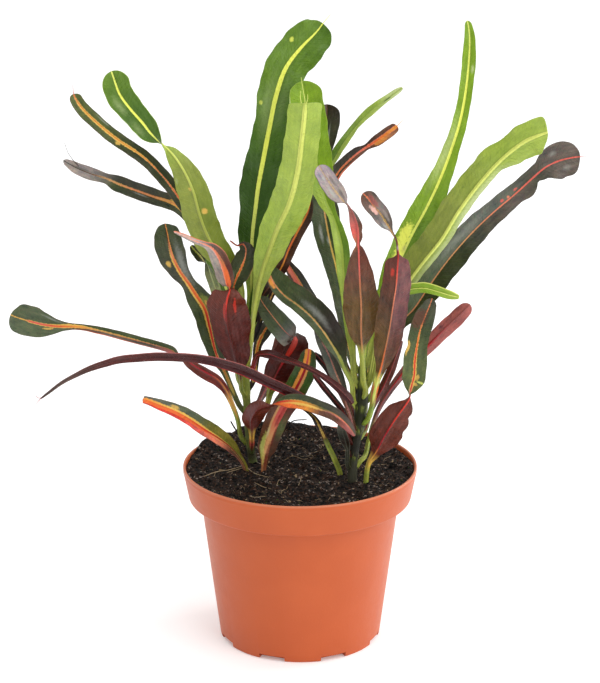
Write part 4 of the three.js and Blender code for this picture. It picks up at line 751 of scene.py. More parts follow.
    "leaf_mid_dark": {"kind": "wine", "under": {"ground": "wine@.2 soot@.6 wine@1", "rib": "maroon*.8"}},
    "leaf_mid_black": {"kind": "wine", "under": {"ground": "maroon@.2 soot@.7 soot@1", "rib": "maroon*.8"}},
    "leaf_mid_grey": {"kind": "dark", "upper": {
        "left": "umber@.1 umber@.3 slate@.6 slate@1", "right": "umber@.1 ash@.4 ash@.7 slate@1",
        "rib": "rose*.6@.2 clay*.5@.5 rose*.4@.8", "by": "blush*.1",
    }},
    "leaf_mid_glossy": {"kind": "dark", "upper": {
        "left": "stalk@.12 olive@.2 bottle@.32 deep_green@.5 deep_green@1",
        "right": "stalk@.12 olive@.2 night_green@.3 soot@.5 deep_green@.8 deep_green@1",
        "rib": "stalk*1.4@.15 olive*1.2@.3 tan*.7@.5 clay*.6@.75 salmon*.6@.92", "by": "olive*.2@.3",
        "patches": [(0.91, -0.4, 3.4, 1.2, "amber", 0.9), (0.6, 0.35, 12, 2.4, "silver", 0.4)],
    }},
    "leaf_mid_pink": {"kind": "dark", "upper": {
        "left": "slate@.3 dusk@.8 umber@1", "right": "soot@.3 slate@.7 soot@1",
        "rib": "coral*.6@.3 coral*.8@.65 salmon*1.2@.82 coral*.8@.95",
        "by_left": "blush*.2@.6 coral*1.6@.78 salmon*1.6@.92",
    }},
    "leaf_mid_orange_edge": {"kind": "dark", "upper": {
        "ground": "soot@.2 cocoa@.6 soot@1",
        "rib": "umber*.5@.3 amber*.9@.45 orange*1@.6 amber*1@.75 orange*.8@.9", "by": "umber*.2",
    }},
    "leaf_mid_small": {"kind": "dark", "upper": {"ground": "soot@.5 ash@.8"}},
    "leaf_low_spoon": {"kind": "ember", "under": {
        "ground": "olive@.06 lime@.12 gold@.17 maroon@.22 mulberry@.4",
    }, "upper": {
        "left": "rose@.45 ash@.52 dusk@.66 umber@.76 bottle@.82 bottle@1",
        "right": "deep_green@.45 deep_green@.72 deep_green@.8 bottle@.9 bottle@1",
        "rib": "rose*.3@.46 rose*.4@.54 clay*.5@.63 tan*.5@.7 amber*1@.77 orange*1.3@.83 coral*1.1@.9 "
        "coral*.9@.935 coral*0@.95",
        "by_left": "clay*.1@.6 gold*.1@.7 gold*.3@.8",
        "by_right": "gold*.1@.5 gold*.3@.63 gold*.3@.72 gold*.8@.8 gold*.2@.88",
        "edge_left": "rose*.4@.5 salmon*.4@.7 umber*.1@.8",
        "patches": [
            (0.87, -0.3, 3, 0.6, "gold", 0.7), (0.86, 0.7, 8, 0.8, "silver", 0.4),
            (0.8, 0.5, 1.2, 0.6, "gold", 0.8),
        ],
    }},
    "leaf_low_cut": {"kind": "ember", "stalk": 0.05, "upper": {
        "left": "umber@.1 umber@.26 salmon@.4 coral@.55 scarlet@.75 scarlet@.95",
        "right": "khaki@.1 khaki@.3 khaki@.45 bottle@.6 slate@1",
        "rib": "umber*.8@.2 crimson*.8@.35 scarlet*1@.5 orange*1.2@.7 orange*1@.95",
        "by_left": "gold*.1@.3 orange*.6@.5 orange*.8@.95",
        "by_right": "olive*.2@.25 gold*.6@.45 gold*1.1@.6 gold*1@.8 amber*1@1", "edge_left": "rose*.2",
        "edge_right": "bronze*.2",
        "patches": [(0.78, 0.55, 3, 1, "gold", 0.7)],
    }},
    "leaf_low_edge_on": {"kind": "dark", "stalk": 0.56, "under": {
        "ground": "stalk@.1 stalk@.3 olive@.5 bronze@.56 soot@.62 soot@1", "rib": "olive*.3@.5 soot*.3@.7",
    }, "upper": {
        "ground": "stalk@.1 stalk@.3 olive@.5 bronze@.56 soot@.62 soot@1", "rib": "olive*.3@.5 soot*.3@.7",
    }},
    "leaf_back_centre": {"kind": "fresh"},
    "leaf_back_left_high": {"kind": "fresh"},
    "leaf_back_right_high": {"kind": "fresh"},
    "leaf_back_left": {"kind": "dark"},
    "leaf_back_right": {"kind": "dark"},
    "leaf_back_middle": {"kind": "dark"},
    "leaf_back_low": {"kind": "wine"},
}

# What each kind's tone and hue waver by
WAVERING = {"fresh": (0.16, 0.1), "dark": (0.3, 0.55), "ember": (0.3, 0.5), "wine": (0.3, 0.4)}

# Pigments whose patches are painted sheen, highlights on the leaves' gloss; then how far out a blotch is
# solid and how torn its rim is, for those, which fade out softly, and for the others
SHEENS = ("silver", "milky", "mauve", "smoke")
SHEEN_BLOTCH = (0, 0.9)
PLAIN_BLOTCH = (0.6, 1.4)

# A band's width goes with its colour as a share of this one
WIDEST_BAND = 8

# What sets the waves and the clouds of two leaves apart
WAVE_SEEDS = 17
CLOUD_SEEDS = 29
CLOUD_STEP = 3.7

# How bright the light on the leaves is, and the sheen that it lays over their colour
DAYLIGHT = 1.12
SHEEN_SHARE = 0.014

COLOUR, NUMBER = "NodeSocketColor", "NodeSocketFloat"


def seen(across, up, back):
    """The place that the viewer sees at this spot of the picture plane, at this depth."""
    ray = RIM_CENTRE + GAZE_UP * up - EYE
    ray[0] += across
    return EYE + ray * ((back - EYE[1]) / ray[1])


def own_number(name, spread):
    """A number that is always the same for a leaf, so that its waves and clouds are its own."""
    return sum(map(ord, name)) % spread


def unit(vectors):
    return vectors / np.linalg.norm(vectors, axis=-1, keepdims=True)


class Path:
    """A centripetal spline through the given points, in millimetres."""

    FINE = 60
    STEP = 0.4

    def __init__(self, points):
        given = np.array(points, float)
        padded = np.vstack([2 * given[0] - given[1], given, 2 * given[-1] - given[-2]])
        spans = []
        for k in range(len(given) - 1):
            spans.append(self.span(*padded[k:k + 4])[:-1])
        self.fine = np.vstack(spans + [given[-1:]])
        steps = np.linalg.norm(np.diff(self.fine, axis=0), axis=1)
        self.lengths = np.concatenate([[0], np.cumsum(steps)])
        self.total = self.lengths[-1]
        self.knots = self.lengths[:: self.FINE]

    def span(self, before, start, end, after):
        reach = [np.sum((b - a) ** 2) ** 0.25 for a, b in ((before, start), (start, end), (end, after))]
        d0, d1, d2 = reach
        leave = ((start - before) / d0 - (end - before) / (d0 + d1) + (end - start) / d1) * d1
        arrive = ((end - start) / d1 - (after - start) / (d1 + d2) + (after - end) / d2) * d1
        t = np.linspace(0, 1, self.FINE + 1)[:, None]
        square = 3 * (end - start) - 2 * leave - arrive
        cube = 2 * (start - end) + leave + arrive
        return start + leave * t + square * t**2 + cube * t**3

    def at(self, lengths):
        return np.stack([np.interp(lengths, self.lengths, self.fine[:, k]) for k in range(3)], axis=-1)

    def along(self, lengths):
        lengths = np.asarray(lengths, float)
        return unit(self.at(lengths + self.STEP) - self.at(lengths - self.STEP))

    def inside(self, lengths):
        """The same lengths, kept a step away from both ends."""
        return np.clip(lengths, self.STEP, self.total - self.STEP)


def flowing(knots, values, lengths):
    """Values at the knots read in between on smooth monotone curves, without overshoot."""
    knots, values = np.asarray(knots, float), np.asarray(values, float)
    gaps = np.diff(knots)
    slopes = np.diff(values) / gaps
    bends = np.zeros(len(values))
    for k in range(1, len(values) - 1):
        if slopes[k - 1] * slopes[k] > 0:
            near = 2 * gaps[k] + gaps[k - 1]
            far = gaps[k] + 2 * gaps[k - 1]
            bends[k] = (near + far) / (near / slopes[k - 1] + far / slopes[k])
    bends[0], bends[-1] = slopes[0], slopes[-1]
    k = np.clip(np.searchsorted(knots, lengths, side="right") - 1, 0, len(gaps) - 1)
    t = (lengths - knots[k]) / gaps[k]
    return (
        values[k] * (1 + 2 * t) * (1 - t) ** 2
        + bends[k] * gaps[k] * t * (1 - t) ** 2
        + values[k + 1] * t**2 * (3 - 2 * t)
        + bends[k + 1] * gaps[k] * t**2 * (t - 1)
    )


def soil_top(x, y):
    """The soil's height, with a low crown, lumps and heaps, before its clods."""
    reach = np.hypot(x, y) / RIM_RADIUS
    lumps = 0.7 * np.sin(0.21 * x + 1) * np.cos(0.17 * y) + 0.45 * np.sin(0.47 * x + 0.33 * y)
    heap = 0
    for rise in HEAPS:
        away = np.hypot((x - rise["x"]) / rise["spread_x"], (y - rise["y"]) / rise["spread_y"])
        heap = np.maximum(heap, rise["height"] * np.exp(-away**2 / 2))
    return SOIL_LEVEL + SOIL_CROWN * (1 - reach**2) + lumps + heap


def in_scene(name, data):
    """A new object in the scene that holds this mesh, lamp or camera."""
    made = bpy.data.objects.new(name, data)
    bpy.context.scene.collection.objects.link(made)
    return made


def mesh_of(name, points, faces, marks=None):
    """A mesh object from points in millimetres, with its marks as named values on the points."""
    mesh = bpy.data.meshes.new(name)
    mesh.from_pydata((np.asarray(points) * MM).tolist(), [], faces)
    for mark, values in (marks or {}).items():
        attribute = mesh.attributes.new(mark, "FLOAT", "POINT")
        attribute.data.foreach_set("value", np.asarray(values, np.float32))
    mesh.polygons.foreach_set("use_smooth", [True] * len(mesh.polygons))
    mesh.validate()
    mesh.update()
    return in_scene(name, mesh)


def tube_faces(rings, sides):
    """Faces of a closed tube whose points run ring by ring."""
    faces = []
    for ring in range(rings - 1):
        for k in range(sides):
            a, b = ring * sides + k, ring * sides + (k + 1) % sides
            faces.append((a, b, b + sides, a + sides))
    faces.append(tuple(reversed(range(sides))))
    faces.append(tuple(range((rings - 1) * sides, rings * sides)))
    return faces


def turned_faces(rings, sides):
    """Faces of a closed turned body: a point on the axis, its rings, then the last point."""
    faces, last = [], 1 + (rings - 1) * sides
    for k in range(sides):
        after = (k + 1) % sides
        faces.append((0, 1 + after, 1 + k))
        for ring in range(rings - 1):
            a, b = 1 + ring * sides + k, 1 + ring * sides + after
            faces.append((a, b, b + sides, a + sides))
        faces.append((last + k, last + after, last + sides))
    return faces


def thin_tube(path, lengths, margin, aside, radii, sides):
    """Points and faces of a thread or fibre along a path; aside only says where a ring's count starts."""
    centre, along = path.at(lengths), path.along(np.clip(lengths, margin, path.total - margin))
    side = unit(np.cross(along, np.array(aside)))
    other = np.cross(along, side)
    turn = (np.arange(sides) * 2 * math.pi / sides)[None, :, None]
    ring = np.cos(turn) * side[:, None, :] + np.sin(turn) * other[:, None, :]
    points = centre[:, None, :] + ring * radii[:, None, None]
    return points.reshape(-1, 3), tube_faces(len(lengths), sides)


def turned_out(made):
    """Faces outward on a closed mesh."""
    work = bmesh.new()
    work.from_mesh(made.data)
    bmesh.ops.recalc_face_normals(work, faces=work.faces)
    if work.calc_volume(signed=True) < 0:
        bmesh.ops.reverse_faces(work, faces=work.faces)
    work.to_mesh(made.data)
    work.free()


stem_paths = {name: Path([seen(*row) for row in stem["path"]]) for name, stem in STEMS.items()}


def stem_radius(name, lengths):
    """A stem's radius at its knots; between them it is a little less."""
    path = stem_paths[name]
    return flowing(path.knots, STEMS[name]["girth"], lengths)


def leaf_start(leaf):
    """Where the stalk leaves its stem or the soil, sunk a little so that no gap shows."""
    if "root" in leaf:
        x, y = leaf["root"]
        surface = soil_top(x, y)
        return [np.array([x, y, surface - ROOT_SINK]), np.array([x, y, surface + 1])]
    name, share, degrees = leaf["on"]
    path = stem_paths[name]
    reach = min(share, HIGHEST_SOCKET) * path.total
    along = path.along(reach)
    outward = np.array([math.cos(math.radians(degrees)), math.sin(math.radians(degrees)), 0])
    outward = unit(outward - along * outward.dot(along))
    skin = path.at(reach) + outward * stem_radius(name, reach)
    foot = skin - outward * SOCKET_SINK - along * SOCKET_DROP
    return [foot, skin + outward * SOCKET_OUT + along * SOCKET_UP]


def leaf_path(leaf):
    """A leaf's path from its foot through the places in its rows."""
    return Path(leaf_start(leaf) + [seen(*row[:3]) for row in leaf["rows"]])


def blade_end(leaf, path):
    """How far the blade reaches along its path; a dried thread goes on from there."""
    count = len(path.knots)
    return float(np.interp(count - leaf.get("tip", USUAL_TIP)[0], np.arange(count), path.knots))


def leaf_halves(name, leaf, path, lengths, end):
    """Half widths left and right of the midrib, with the uneven margins, nicks and the rounded tip."""
    widths = [row[3] for row in leaf["rows"]]
    stalk = min(widths[0], STALK_WIDTH)
    widths = np.array([stalk + STALK_FLARE, stalk, *widths], float)
    seed = own_number(name, WAVE_SEEDS)
    tip = leaf.get("tip", USUAL_TIP)
    until, *uneven_halves = leaf.get("lopsided", EVEN_HALVES)
    in_part = np.clip((until - lengths / path.total) / 0.06 + 0.5, 0, 1)
    halves = []
    for sign in (-1, 1):
        cap, blunt = tip[3:5] if sign > 0 and len(tip) > 3 else tip[1:3]
        inner = np.minimum(lengths, end - cap)
        half = np.sqrt(flowing(path.knots, widths**2, inner)) / 2
        half *= 1 + (uneven_halves[sign > 0] - 1) * in_part * np.clip(half / FULL_HALF, 0, 1)
        past = np.clip((lengths - (end - cap)) / cap, 0, 1)
        half *= np.maximum(1 - past**blunt, 0) ** (1 / blunt)
        half = np.maximum(half, THREAD_WIDTH / 2)
        uneven = 0
        for height, length, own, sided in UNEVENNESS:
            uneven = uneven + height * np.sin(lengths / length + seed * own + sided * sign)
        side_half = half * (1 + uneven * np.clip(half / FULL_HALF, 0, 1))
        for share, side, depth, length in leaf.get("nicks", ()):
            if side == sign:
                side_half *= 1 - depth * np.exp(-(((lengths - share * path.total) / length) ** 2))
        halves.append(side_half)
    return halves


def blade_frame(leaf, path, lengths):
    """The middle, the side and the normal of a blade at each station, turned as its rows say."""
    usual = leaf.get("turn", 0)
    turns = [row[4] if len(row) > 4 else usual for row in leaf["rows"]]
    turn = np.radians(flowing(path.knots, np.array([turns[0]] * 2 + turns, float), lengths))[:, None]
    centre, along = path.at(lengths), path.along(path.inside(lengths))
    flat_side = unit(np.cross(along, EYE - centre))
    flat_normal = np.cross(flat_side, along)
    side = flat_side * np.cos(turn) + flat_normal * np.sin(turn)
    return centre, side, np.cross(side, along)


def midrib(halves, share):
    """The midrib's half width and how far it stands out below, both less towards the tip."""
    narrower = np.minimum(*halves)
    half = np.minimum(0.8 * narrower, RIB_HALF_FOOT - RIB_HALF_LOSS * np.minimum(1, 1.4 * share))
    depth = STALK_RIB + (TIP_RIB - STALK_RIB) * np.minimum(1, 1.6 * share)
    return half[:, None], np.minimum(depth, 1.2 * narrower)[:, None]


def blade_half(seed, sign, half, rib_half, rib_depth, lengths):
    """One half of a blade from the midrib out: its reach and the heights of its upper and lower face."""
    wide = half[:, None]
    reach = np.concatenate([rib_half * RIB_COLUMNS, rib_half + (wide - rib_half) * BLADE_COLUMNS], axis=1)
    out = reach / wide
    wave = lengths[:, None] * 2 * math.pi / WAVE_LENGTH
    lag = WAVE_LAG if sign > 0 else 0
    rise = np.sin(GUTTER) + WAVE_HEIGHT * np.sin(wave + lag)
    ripple = RIPPLE_HEIGHT * np.sin(2.6 * wave + seed + 2 * lag) * np.sin(0.9 * wave + seed)
    lift = wide * (rise * out**GUTTER_CURVE + ripple * out**3)
    thick = (BLADE_MIDDLE + (BLADE_EDGE - BLADE_MIDDLE) * out) * np.minimum(1, wide / 0.6)
    groove = RIB_GROOVE * np.exp(-((reach / rib_half) ** 2)) * np.minimum(1, wide / 3)
    in_rib = np.clip(1 - (reach / rib_half) ** 2, 0, 1) ** 0.6
    return sign * reach, lift + thick / 2 - groove, lift - thick / 2 - rib_depth * in_rib


def round_loop(upper, under):
    """One value after the other round the blade: over the upper face, then back under it."""
    left_up, right_up = upper[0][:, ::-1], upper[1][:, 1:]
    right_low, left_low = under[1][:, ::-1], under[0][:, 1:]
    return np.concatenate([left_up, right_up, right_low, left_low], axis=1)


def leaf_mesh(name, leaf, path):
    """A closed blade with its raised midrib, gutter and waved edges, and the dried threads it may have."""
    end = blade_end(leaf, path)
    body = np.arange(0, end - TIP_RUN, STATION)
    tip = end - TIP_RUN * (1 - np.sin(np.linspace(0, math.pi / 2, TIP_STATIONS)))
    lengths = np.concatenate([body, tip])
    share = lengths / path.total
    halves = leaf_halves(name, leaf, path, lengths, end)
    centre, side, normal = blade_frame(leaf, path, lengths)
    rib_half, rib_depth = midrib(halves, share)
    seed, reaches, upper, under = own_number(name, WAVE_SEEDS), [], [], []
    for sign, half in zip((-1, 1), halves):
        reach, top, bottom = blade_half(seed, sign, half, rib_half, rib_depth, lengths)
        at = centre[:, None, :] + (reach * math.cos(GUTTER))[..., None] * side[:, None, :]
        reaches.append(reach)
        upper.append(at + top[..., None] * normal[:, None, :])
        under.append(at + bottom[..., None] * normal[:, None, :])
    points, across = round_loop(upper, under), round_loop(reaches, reaches)
    rings, sides = across.shape
    marks = {
        "across": across.ravel(),
        "half": np.where(across < 0, halves[0][:, None], halves[1][:, None]).ravel(),
        "along": np.repeat(lengths, sides),
        "share": np.repeat(share, sides),
        "upper": np.tile(np.arange(sides) < sides // 2, rings),
    }
    parts, faces = [points.reshape(-1, 3)], tube_faces(rings, sides)
    hairs = [np.array([seen(*row) for row in rows]) for rows in leaf.get("hairs", ())]
    if end < path.total:
        hairs.append(path.at(np.linspace(end - 1, path.total, 8)))
    for hair in hairs:
        hair_points, hair_faces = hair_tube(hair)
        first = sum(map(len, parts))
        parts.append(hair_points)
        faces += [tuple(first + k for k in face) for face in hair_faces]
        for mark, value in (("across", 0), ("half", 0.3), ("along", end), ("share", 1), ("upper", 1)):
            marks[mark] = np.concatenate([marks[mark], np.full(len(hair_points), value, float)])
    made = mesh_of("blade_" + name.removeprefix("leaf_"), np.concatenate(parts), faces, marks)
    turned_out(made)
    return made


def hair_tube(points):
    """A dried thread, thinning to its end."""
    path = Path(points)
    lengths = np.linspace(0, path.total, max(int(path.total / THREAD_STATION), 5))
    radii = THREAD_WIDTH / 2 * np.linspace(1, THREAD_END, len(lengths))
    return thin_tube(path, lengths, path.STEP / 2, (0.3, 0.9, 0.1), radii, THREAD_SIDES)


def painted(pigment):
    """The paint that shows a pigment under the scene's light, without the sheen that lies over it."""
    linear = []
    for k in (0, 2, 4):
        seen_value = int(PIGMENTS.get(pigment, pigment)[k:k + 2], 16) / 255
        value = seen_value / 12.92 if seen_value <= 0.04045 else ((seen_value + 0.055) / 1.055) ** 2.4
        linear.append(max(value - SHEEN_SHARE, 0.15 * value) / DAYLIGHT)
    return (*linear, 1)


class Bench:
    """A tree of nodes being wired, in the few words that the finishes and the rules use."""

    def __init__(self, tree):
        self.tree = tree

    def node(self, kind, **settings):
        made = self.tree.nodes.new(kind)
        for name, value in settings.items():
            setattr(made, name, value)
        return made

    def feed(self, socket, value):
        if isinstance(value, bpy.types.NodeSocket):
            self.tree.links.new(value, socket)
        else:
            socket.default_value = value

    def result(self, kind, values, **settings):
        """The first output of a node whose inputs are fed in order."""
        made = self.node(kind, **settings)
        for socket, value in zip(made.inputs, values):
            self.feed(socket, value)
        return made.outputs[0]

    def maths(self, operation, *values):
        return self.result("ShaderNodeMath", values, operation=operation)

    def times(self, first, second):
        return self.maths("MULTIPLY", first, second)

    def plus(self, first, second):
        return self.maths("ADD", first, second)

    def minus(self, first, second):
        return self.maths("SUBTRACT", first, second)

    def times_plus(self, first, second, third):
        return self.maths("MULTIPLY_ADD", first, second, third)

    def blend(self, share, first, second, way="MIX"):
        made = self.node("ShaderNodeMix", data_type="RGBA", blend_type=way)
        for place, value in ((0, share), (6, first), (7, second)):
            self.feed(made.inputs[place], value)
        return made.outputs[2]

    def ease(self, value, low, high, start=0, end=1):
        values = (value, low, high, start, end)
        return self.result("ShaderNodeMapRange", values, interpolation_type="SMOOTHSTEP")

    def noise(self, place, scale, detail=2, roughness=0.5):
        made = self.node("ShaderNodeTexNoise")
        self.feed(made.inputs["Vector"], place)
        for socket, value in (("Scale", scale), ("Detail", detail), ("Roughness", roughness)):
            self.feed(made.inputs[socket], value)
        return made.outputs[0]

    def point(self, x, y, z):
        return self.result("ShaderNodeCombineXYZ", (x, y, z))

    def mark(self, name):
        return self.node("ShaderNodeAttribute", attribute_name=name).outputs["Fac"]

    def ramp(self, share, stops):
        made = self.node("ShaderNodeValToRGB")
        elements = made.color_ramp.elements
        for k, (place, colour) in enumerate(stops):
            element = elements[k] if k < 2 else elements.new(place)
            element.position, element.color = place, colour
        if len(stops) == 1:
            elements.remove(elements[1])
        self.feed(made.inputs[0], share)
        return made.outputs


def new_group(name, given, put_out):
    """An empty shader group with named sockets; given also holds each input's usual value."""
    tree = bpy.data.node_groups.new(name, "ShaderNodeTree")
    for socket_name, value in given.items():
        kind = COLOUR if isinstance(value, tuple) else NUMBER
        socket = tree.interface.new_socket(name=socket_name, in_out="INPUT", socket_type=kind)
        socket.default_value = value
    for socket_name, kind in put_out.items():
        tree.interface.new_socket(name=socket_name, in_out="OUTPUT", socket_type=kind)
    bench = Bench(tree)
    inside = bench.node("NodeGroupInput").outputs
    outside = bench.node("NodeGroupOutput").inputs
    return bench, inside, outside


def make_blade_marks():
    """Two halves, side veins, painted shade along the midrib's groove, bands next to the midrib, the midrib
    and the margins of one leaf face.
    """
    black = (0, 0, 0, 1)
    given = {
        "Rib": black, "Rib Width": 1.0, "Flip": 1.0, "Ragged": 0.35, "Vein Spacing": 2.7,
        "Vein Strength": 0.1, "Mottle": 0.2, "Hue Mottle": 0.3, "Stalk": 0.1, "Roughness": 0.36,
        "Gloss": 0.25, "Seed": 0.0,
    }
    for half in ("Left", "Right"):
        given.update({half: black, f"By {half}": black, f"Edge {half}": black})
        given.update({f"By {half} Width": 0.0, f"Edge {half} Width": 0.0})
    put_out = {"Colour": COLOUR, "Height": NUMBER, "Roughness": NUMBER, "Coat": NUMBER}
    bench, into, out = new_group("blade marks", given, put_out)
    across = bench.times(bench.mark("across"), into["Flip"])
    off = bench.maths("ABSOLUTE", across)
    half, along = bench.mark("half"), bench.mark("along")
    place = bench.point(across, along, into["Seed"])

    swept = bench.times_plus(off, -0.85, along)
    stray = bench.noise(place, 0.12, 2)
    phase = bench.maths("DIVIDE", bench.times_plus(stray, 2.6, swept), into["Vein Spacing"])
    from_vein = bench.maths("PINGPONG", phase, 0.5)
    vein = bench.ease(from_vein, 0.0, 0.15, 1, 0)
    faint = bench.ease(bench.noise(place, 0.4, 2), 0.35, 0.6)
    vein = bench.times(vein, faint)
    fine = bench.noise(bench.point(bench.times(off, 0.3), swept, into["Seed"]), 0.9, 4, 0.6)
    ragged = bench.times(bench.minus(fine, 0.5), into["Ragged"])

    right = bench.ease(across, -0.25, 0.25)
    colour = bench.blend(right, into["Left"], into["Right"])
    cloud = bench.noise(place, 0.2, 4, 0.6)
    drawn_out = bench.point(bench.times(across, 0.8), bench.times(along, 0.14), into["Seed"])
    streak = bench.noise(drawn_out, 0.75, 3, 0.6)
    grain = bench.noise(place, 2.4, 3, 0.7)
    tone = bench.plus(bench.minus(cloud, 0.5), bench.minus(streak, 0.5))
    tone = bench.times_plus(bench.minus(grain, 0.5), 0.8, tone)
    tone = bench.times(tone, into["Mottle"])
    lit = bench.times_plus(bench.times(vein, into["Vein Strength"]), 1.0, 1.0)
    hue = bench.minus(bench.noise(bench.point(along, across, into["Seed"]), 0.9, 4, 0.7), 0.5)
    hue = bench.times(hue, into["Hue Mottle"])
    shades = []
    for strength, turn in ((4.4, 1.3), (3.6, -0.9), (2.4, 0.2)):
        shades.append(bench.times_plus(hue, turn, bench.times_plus(tone, strength, lit)))
    colour = bench.blend(1.0, colour, bench.point(*shades), "MULTIPLY")

    reach = bench.times_plus(ragged, 3.4, off)
    past_stalk = bench.ease(bench.minus(bench.mark("share"), into["Stalk"]), -0.02, 0.03)
    rib_half = bench.times(bench.times(into["Rib Width"], 0.5), past_stalk)
    # Painted shade in the groove along the midrib: the colour is darkened to 0.8 at the rib's edge, fading
    # out over 0.7 mm
    rib_groove_shade = bench.ease(bench.minus(off, rib_half), 0.0, 0.7, 0.8, 1)
    colour = bench.blend(1.0, colour, bench.point(rib_groove_shade, rib_groove_shade, rib_groove_shade), "MULTIPLY")
    on_right = bench.maths("GREATER_THAN", across, 0.0)
    by_colour = bench.blend(on_right, into["By Left"], into["By Right"])
    by_width = bench.blend(on_right, into["By Left Width"], into["By Right Width"])
    by_end = bench.plus(rib_half, by_width)
    shown = bench.times(bench.ease(by_width, 0.02, 0.15), past_stalk)
    band = bench.times(bench.ease(bench.minus(reach, by_end), -0.3, 0.25, 1, 0), shown)
    colour = bench.blend(band, colour, by_colour)
    rib_reach = bench.times_plus(ragged, 1.2, off)
    rib = bench.times(bench.ease(bench.minus(rib_reach, rib_half), -0.2, 0.15, 1, 0), past_stalk)
    colour = bench.blend(rib, colour, into["Rib"])

    inward = bench.times_plus(ragged, 0.8, bench.minus(half, off))
    edge_colour = bench.blend(on_right, into["Edge Left"], into["Edge Right"])
    edge_width = bench.blend(on_right, into["Edge Left Width"], into["Edge Right Width"])
    rim = bench.ease(bench.minus(inward, edge_width), -0.25, 0.25, 1, 0)
    rim = bench.times(rim, bench.times(bench.ease(edge_width, 0.02, 0.15), past_stalk))
    colour = bench.blend(rim, colour, edge_colour)

    bench.feed(out["Colour"], colour)
    relief = bench.times_plus(vein, -0.5, bench.times(cloud, 1.6))
    relief = bench.times_plus(streak, 1.1, relief)
    bench.feed(out["Height"], bench.times_plus(grain, 0.3, relief))
    worn = bench.minus(bench.plus(cloud, streak), 1.0)
    bench.feed(out["Roughness"], bench.times_plus(worn, 0.3, into["Roughness"]))
    bench.feed(out["Coat"], bench.times(bench.ease(streak, 0.42, 0.66), into["Gloss"]))
    return bench.tree


def make_patch():
    """One blotch on a leaf face, a spot of the leaf's colour or a painted highlight, soft and ragged at its
    rim.
    """
    given = {
        "Colour": (0, 0, 0, 1), "Paint": (1, 1, 1, 1), "Centre": 0.0, "Side": 0.0, "Length": 3.0,
        "Width": 1.5, "Strength": 1.0, "Flip": 1.0, "Heart": 0.6, "Ragged": 1.2,
    }
    bench, into, out = new_group("blotch", given, {"Colour": COLOUR})
    across, along, half = bench.mark("across"), bench.mark("along"), bench.mark("half")
    flipped = bench.times(across, into["Flip"])
    from_side = bench.minus(flipped, bench.times(into["Side"], half))
    from_centre = bench.minus(along, into["Centre"])
    u = bench.maths("DIVIDE", from_side, into["Width"])
    v = bench.maths("DIVIDE", from_centre, into["Length"])
    round_off = bench.maths("SQRT", bench.plus(bench.times(u, u), bench.times(v, v)))
    torn = bench.noise(bench.point(across, along, into["Centre"]), 0.8, 4, 0.6)
    spread = bench.times_plus(bench.minus(torn, 0.5), into["Ragged"], round_off)
    mask = bench.times(bench.ease(spread, into["Heart"], 1.25, 1, 0), into["Strength"])
    bench.feed(out["Colour"], bench.blend(mask, into["Colour"], into["Paint"]))
    return bench.tree


def run_of(words):
    """The stops of a run such as "fern@.1 lime*.6@.5": (share, paint with the band's width as alpha)."""
    stops = []
    for word in words.split():
        paint, _, place = word.partition("@")
        pigment, _, width = paint.partition("*")
        stops.append((float(place or 0), (*painted(pigment)[:3], float(width or 0) / WIDEST_BAND)))
    return stops


def mark_face(bench, look, face, flip, length, seed):
    """Wires one face of a leaf: its run of bands, then its blotches."""
    share = bench.mark("share")
    marks = bench.node("ShaderNodeGroup", node_tree=blade_marks)
    for half in ("Left", "Right"):
        words = face.get(half.lower(), face.get("ground"))
        bench.feed(marks.inputs[half], bench.ramp(share, run_of(words))[0])
        for band in ("By", "Edge"):
            words = face.get(f"{band.lower()}_{half.lower()}", face.get(band.lower()))
            if words:
                colour, width = bench.ramp(share, run_of(words))
                bench.feed(marks.inputs[f"{band} {half}"], colour)
                bench.feed(marks.inputs[f"{band} {half} Width"], bench.times(width, WIDEST_BAND))
    colour, width = bench.ramp(share, run_of(face["rib"]))
    bench.feed(marks.inputs["Rib"], colour)
    bench.feed(marks.inputs["Rib Width"], bench.times(width, WIDEST_BAND))
    mottle, hue_mottle = WAVERING[look["kind"]]
    stalk = look.get("stalk", USUAL_STALK)
    settings = {"Flip": flip, "Seed": seed, "Stalk": stalk, "Mottle": mottle, "Hue Mottle": hue_mottle}
    for name, value in settings.items():
        marks.inputs[name].default_value = value
    colour = marks.outputs["Colour"]
    for centre, side, reach, width, pigment, strength in face.get("patches", ()):
        # A blotch in a sheen pigment is a painted highlight and fades out softly
        heart, torn = SHEEN_BLOTCH if pigment in SHEENS else PLAIN_BLOTCH
        paint, place = painted(pigment), centre * length
        values = (colour, paint, place, side, reach, width, strength, flip, heart, torn)
        colour = bench.result("ShaderNodeGroup", values, node_tree=patch_marks)
    return colour, marks.outputs["Height"], marks.outputs["Roughness"], marks.outputs["Coat"]


def shader_of(bench, specular):
    """The shader that every finish ends in; a coat, where there is one, is a soft waxy gloss."""
    skin = bench.node("ShaderNodeBsdfPrincipled")
    skin.inputs["Specular IOR Level"].default_value = specular
    skin.inputs["Coat Roughness"].default_value = 0.24
    end = bench.node("ShaderNodeOutputMaterial")
    bench.feed(end.inputs["Surface"], skin.outputs[0])
    return skin


def skinned(bench, specular, colour, rough, height, depth):
    """Ends a finish in its shader, with relief of this depth."""
    skin = shader_of(bench, specular)
    bench.feed(skin.inputs["Base Color"], colour)
    bench.feed(skin.inputs["Roughness"], rough)
    bump = bench.node("ShaderNodeBump")
    bump.inputs["Distance"].default_value = depth * MM
    bench.feed(bump.inputs["Height"], height)
    bench.feed(skin.inputs["Normal"], bump.outputs[0])
    return skin


def new_finish(name):
    """An empty material, and the bench on which it is wired."""
    material = bpy.data.materials.new(name)
    material.use_nodes = True
    material.node_tree.nodes.clear()
    return material, Bench(material.node_tree)


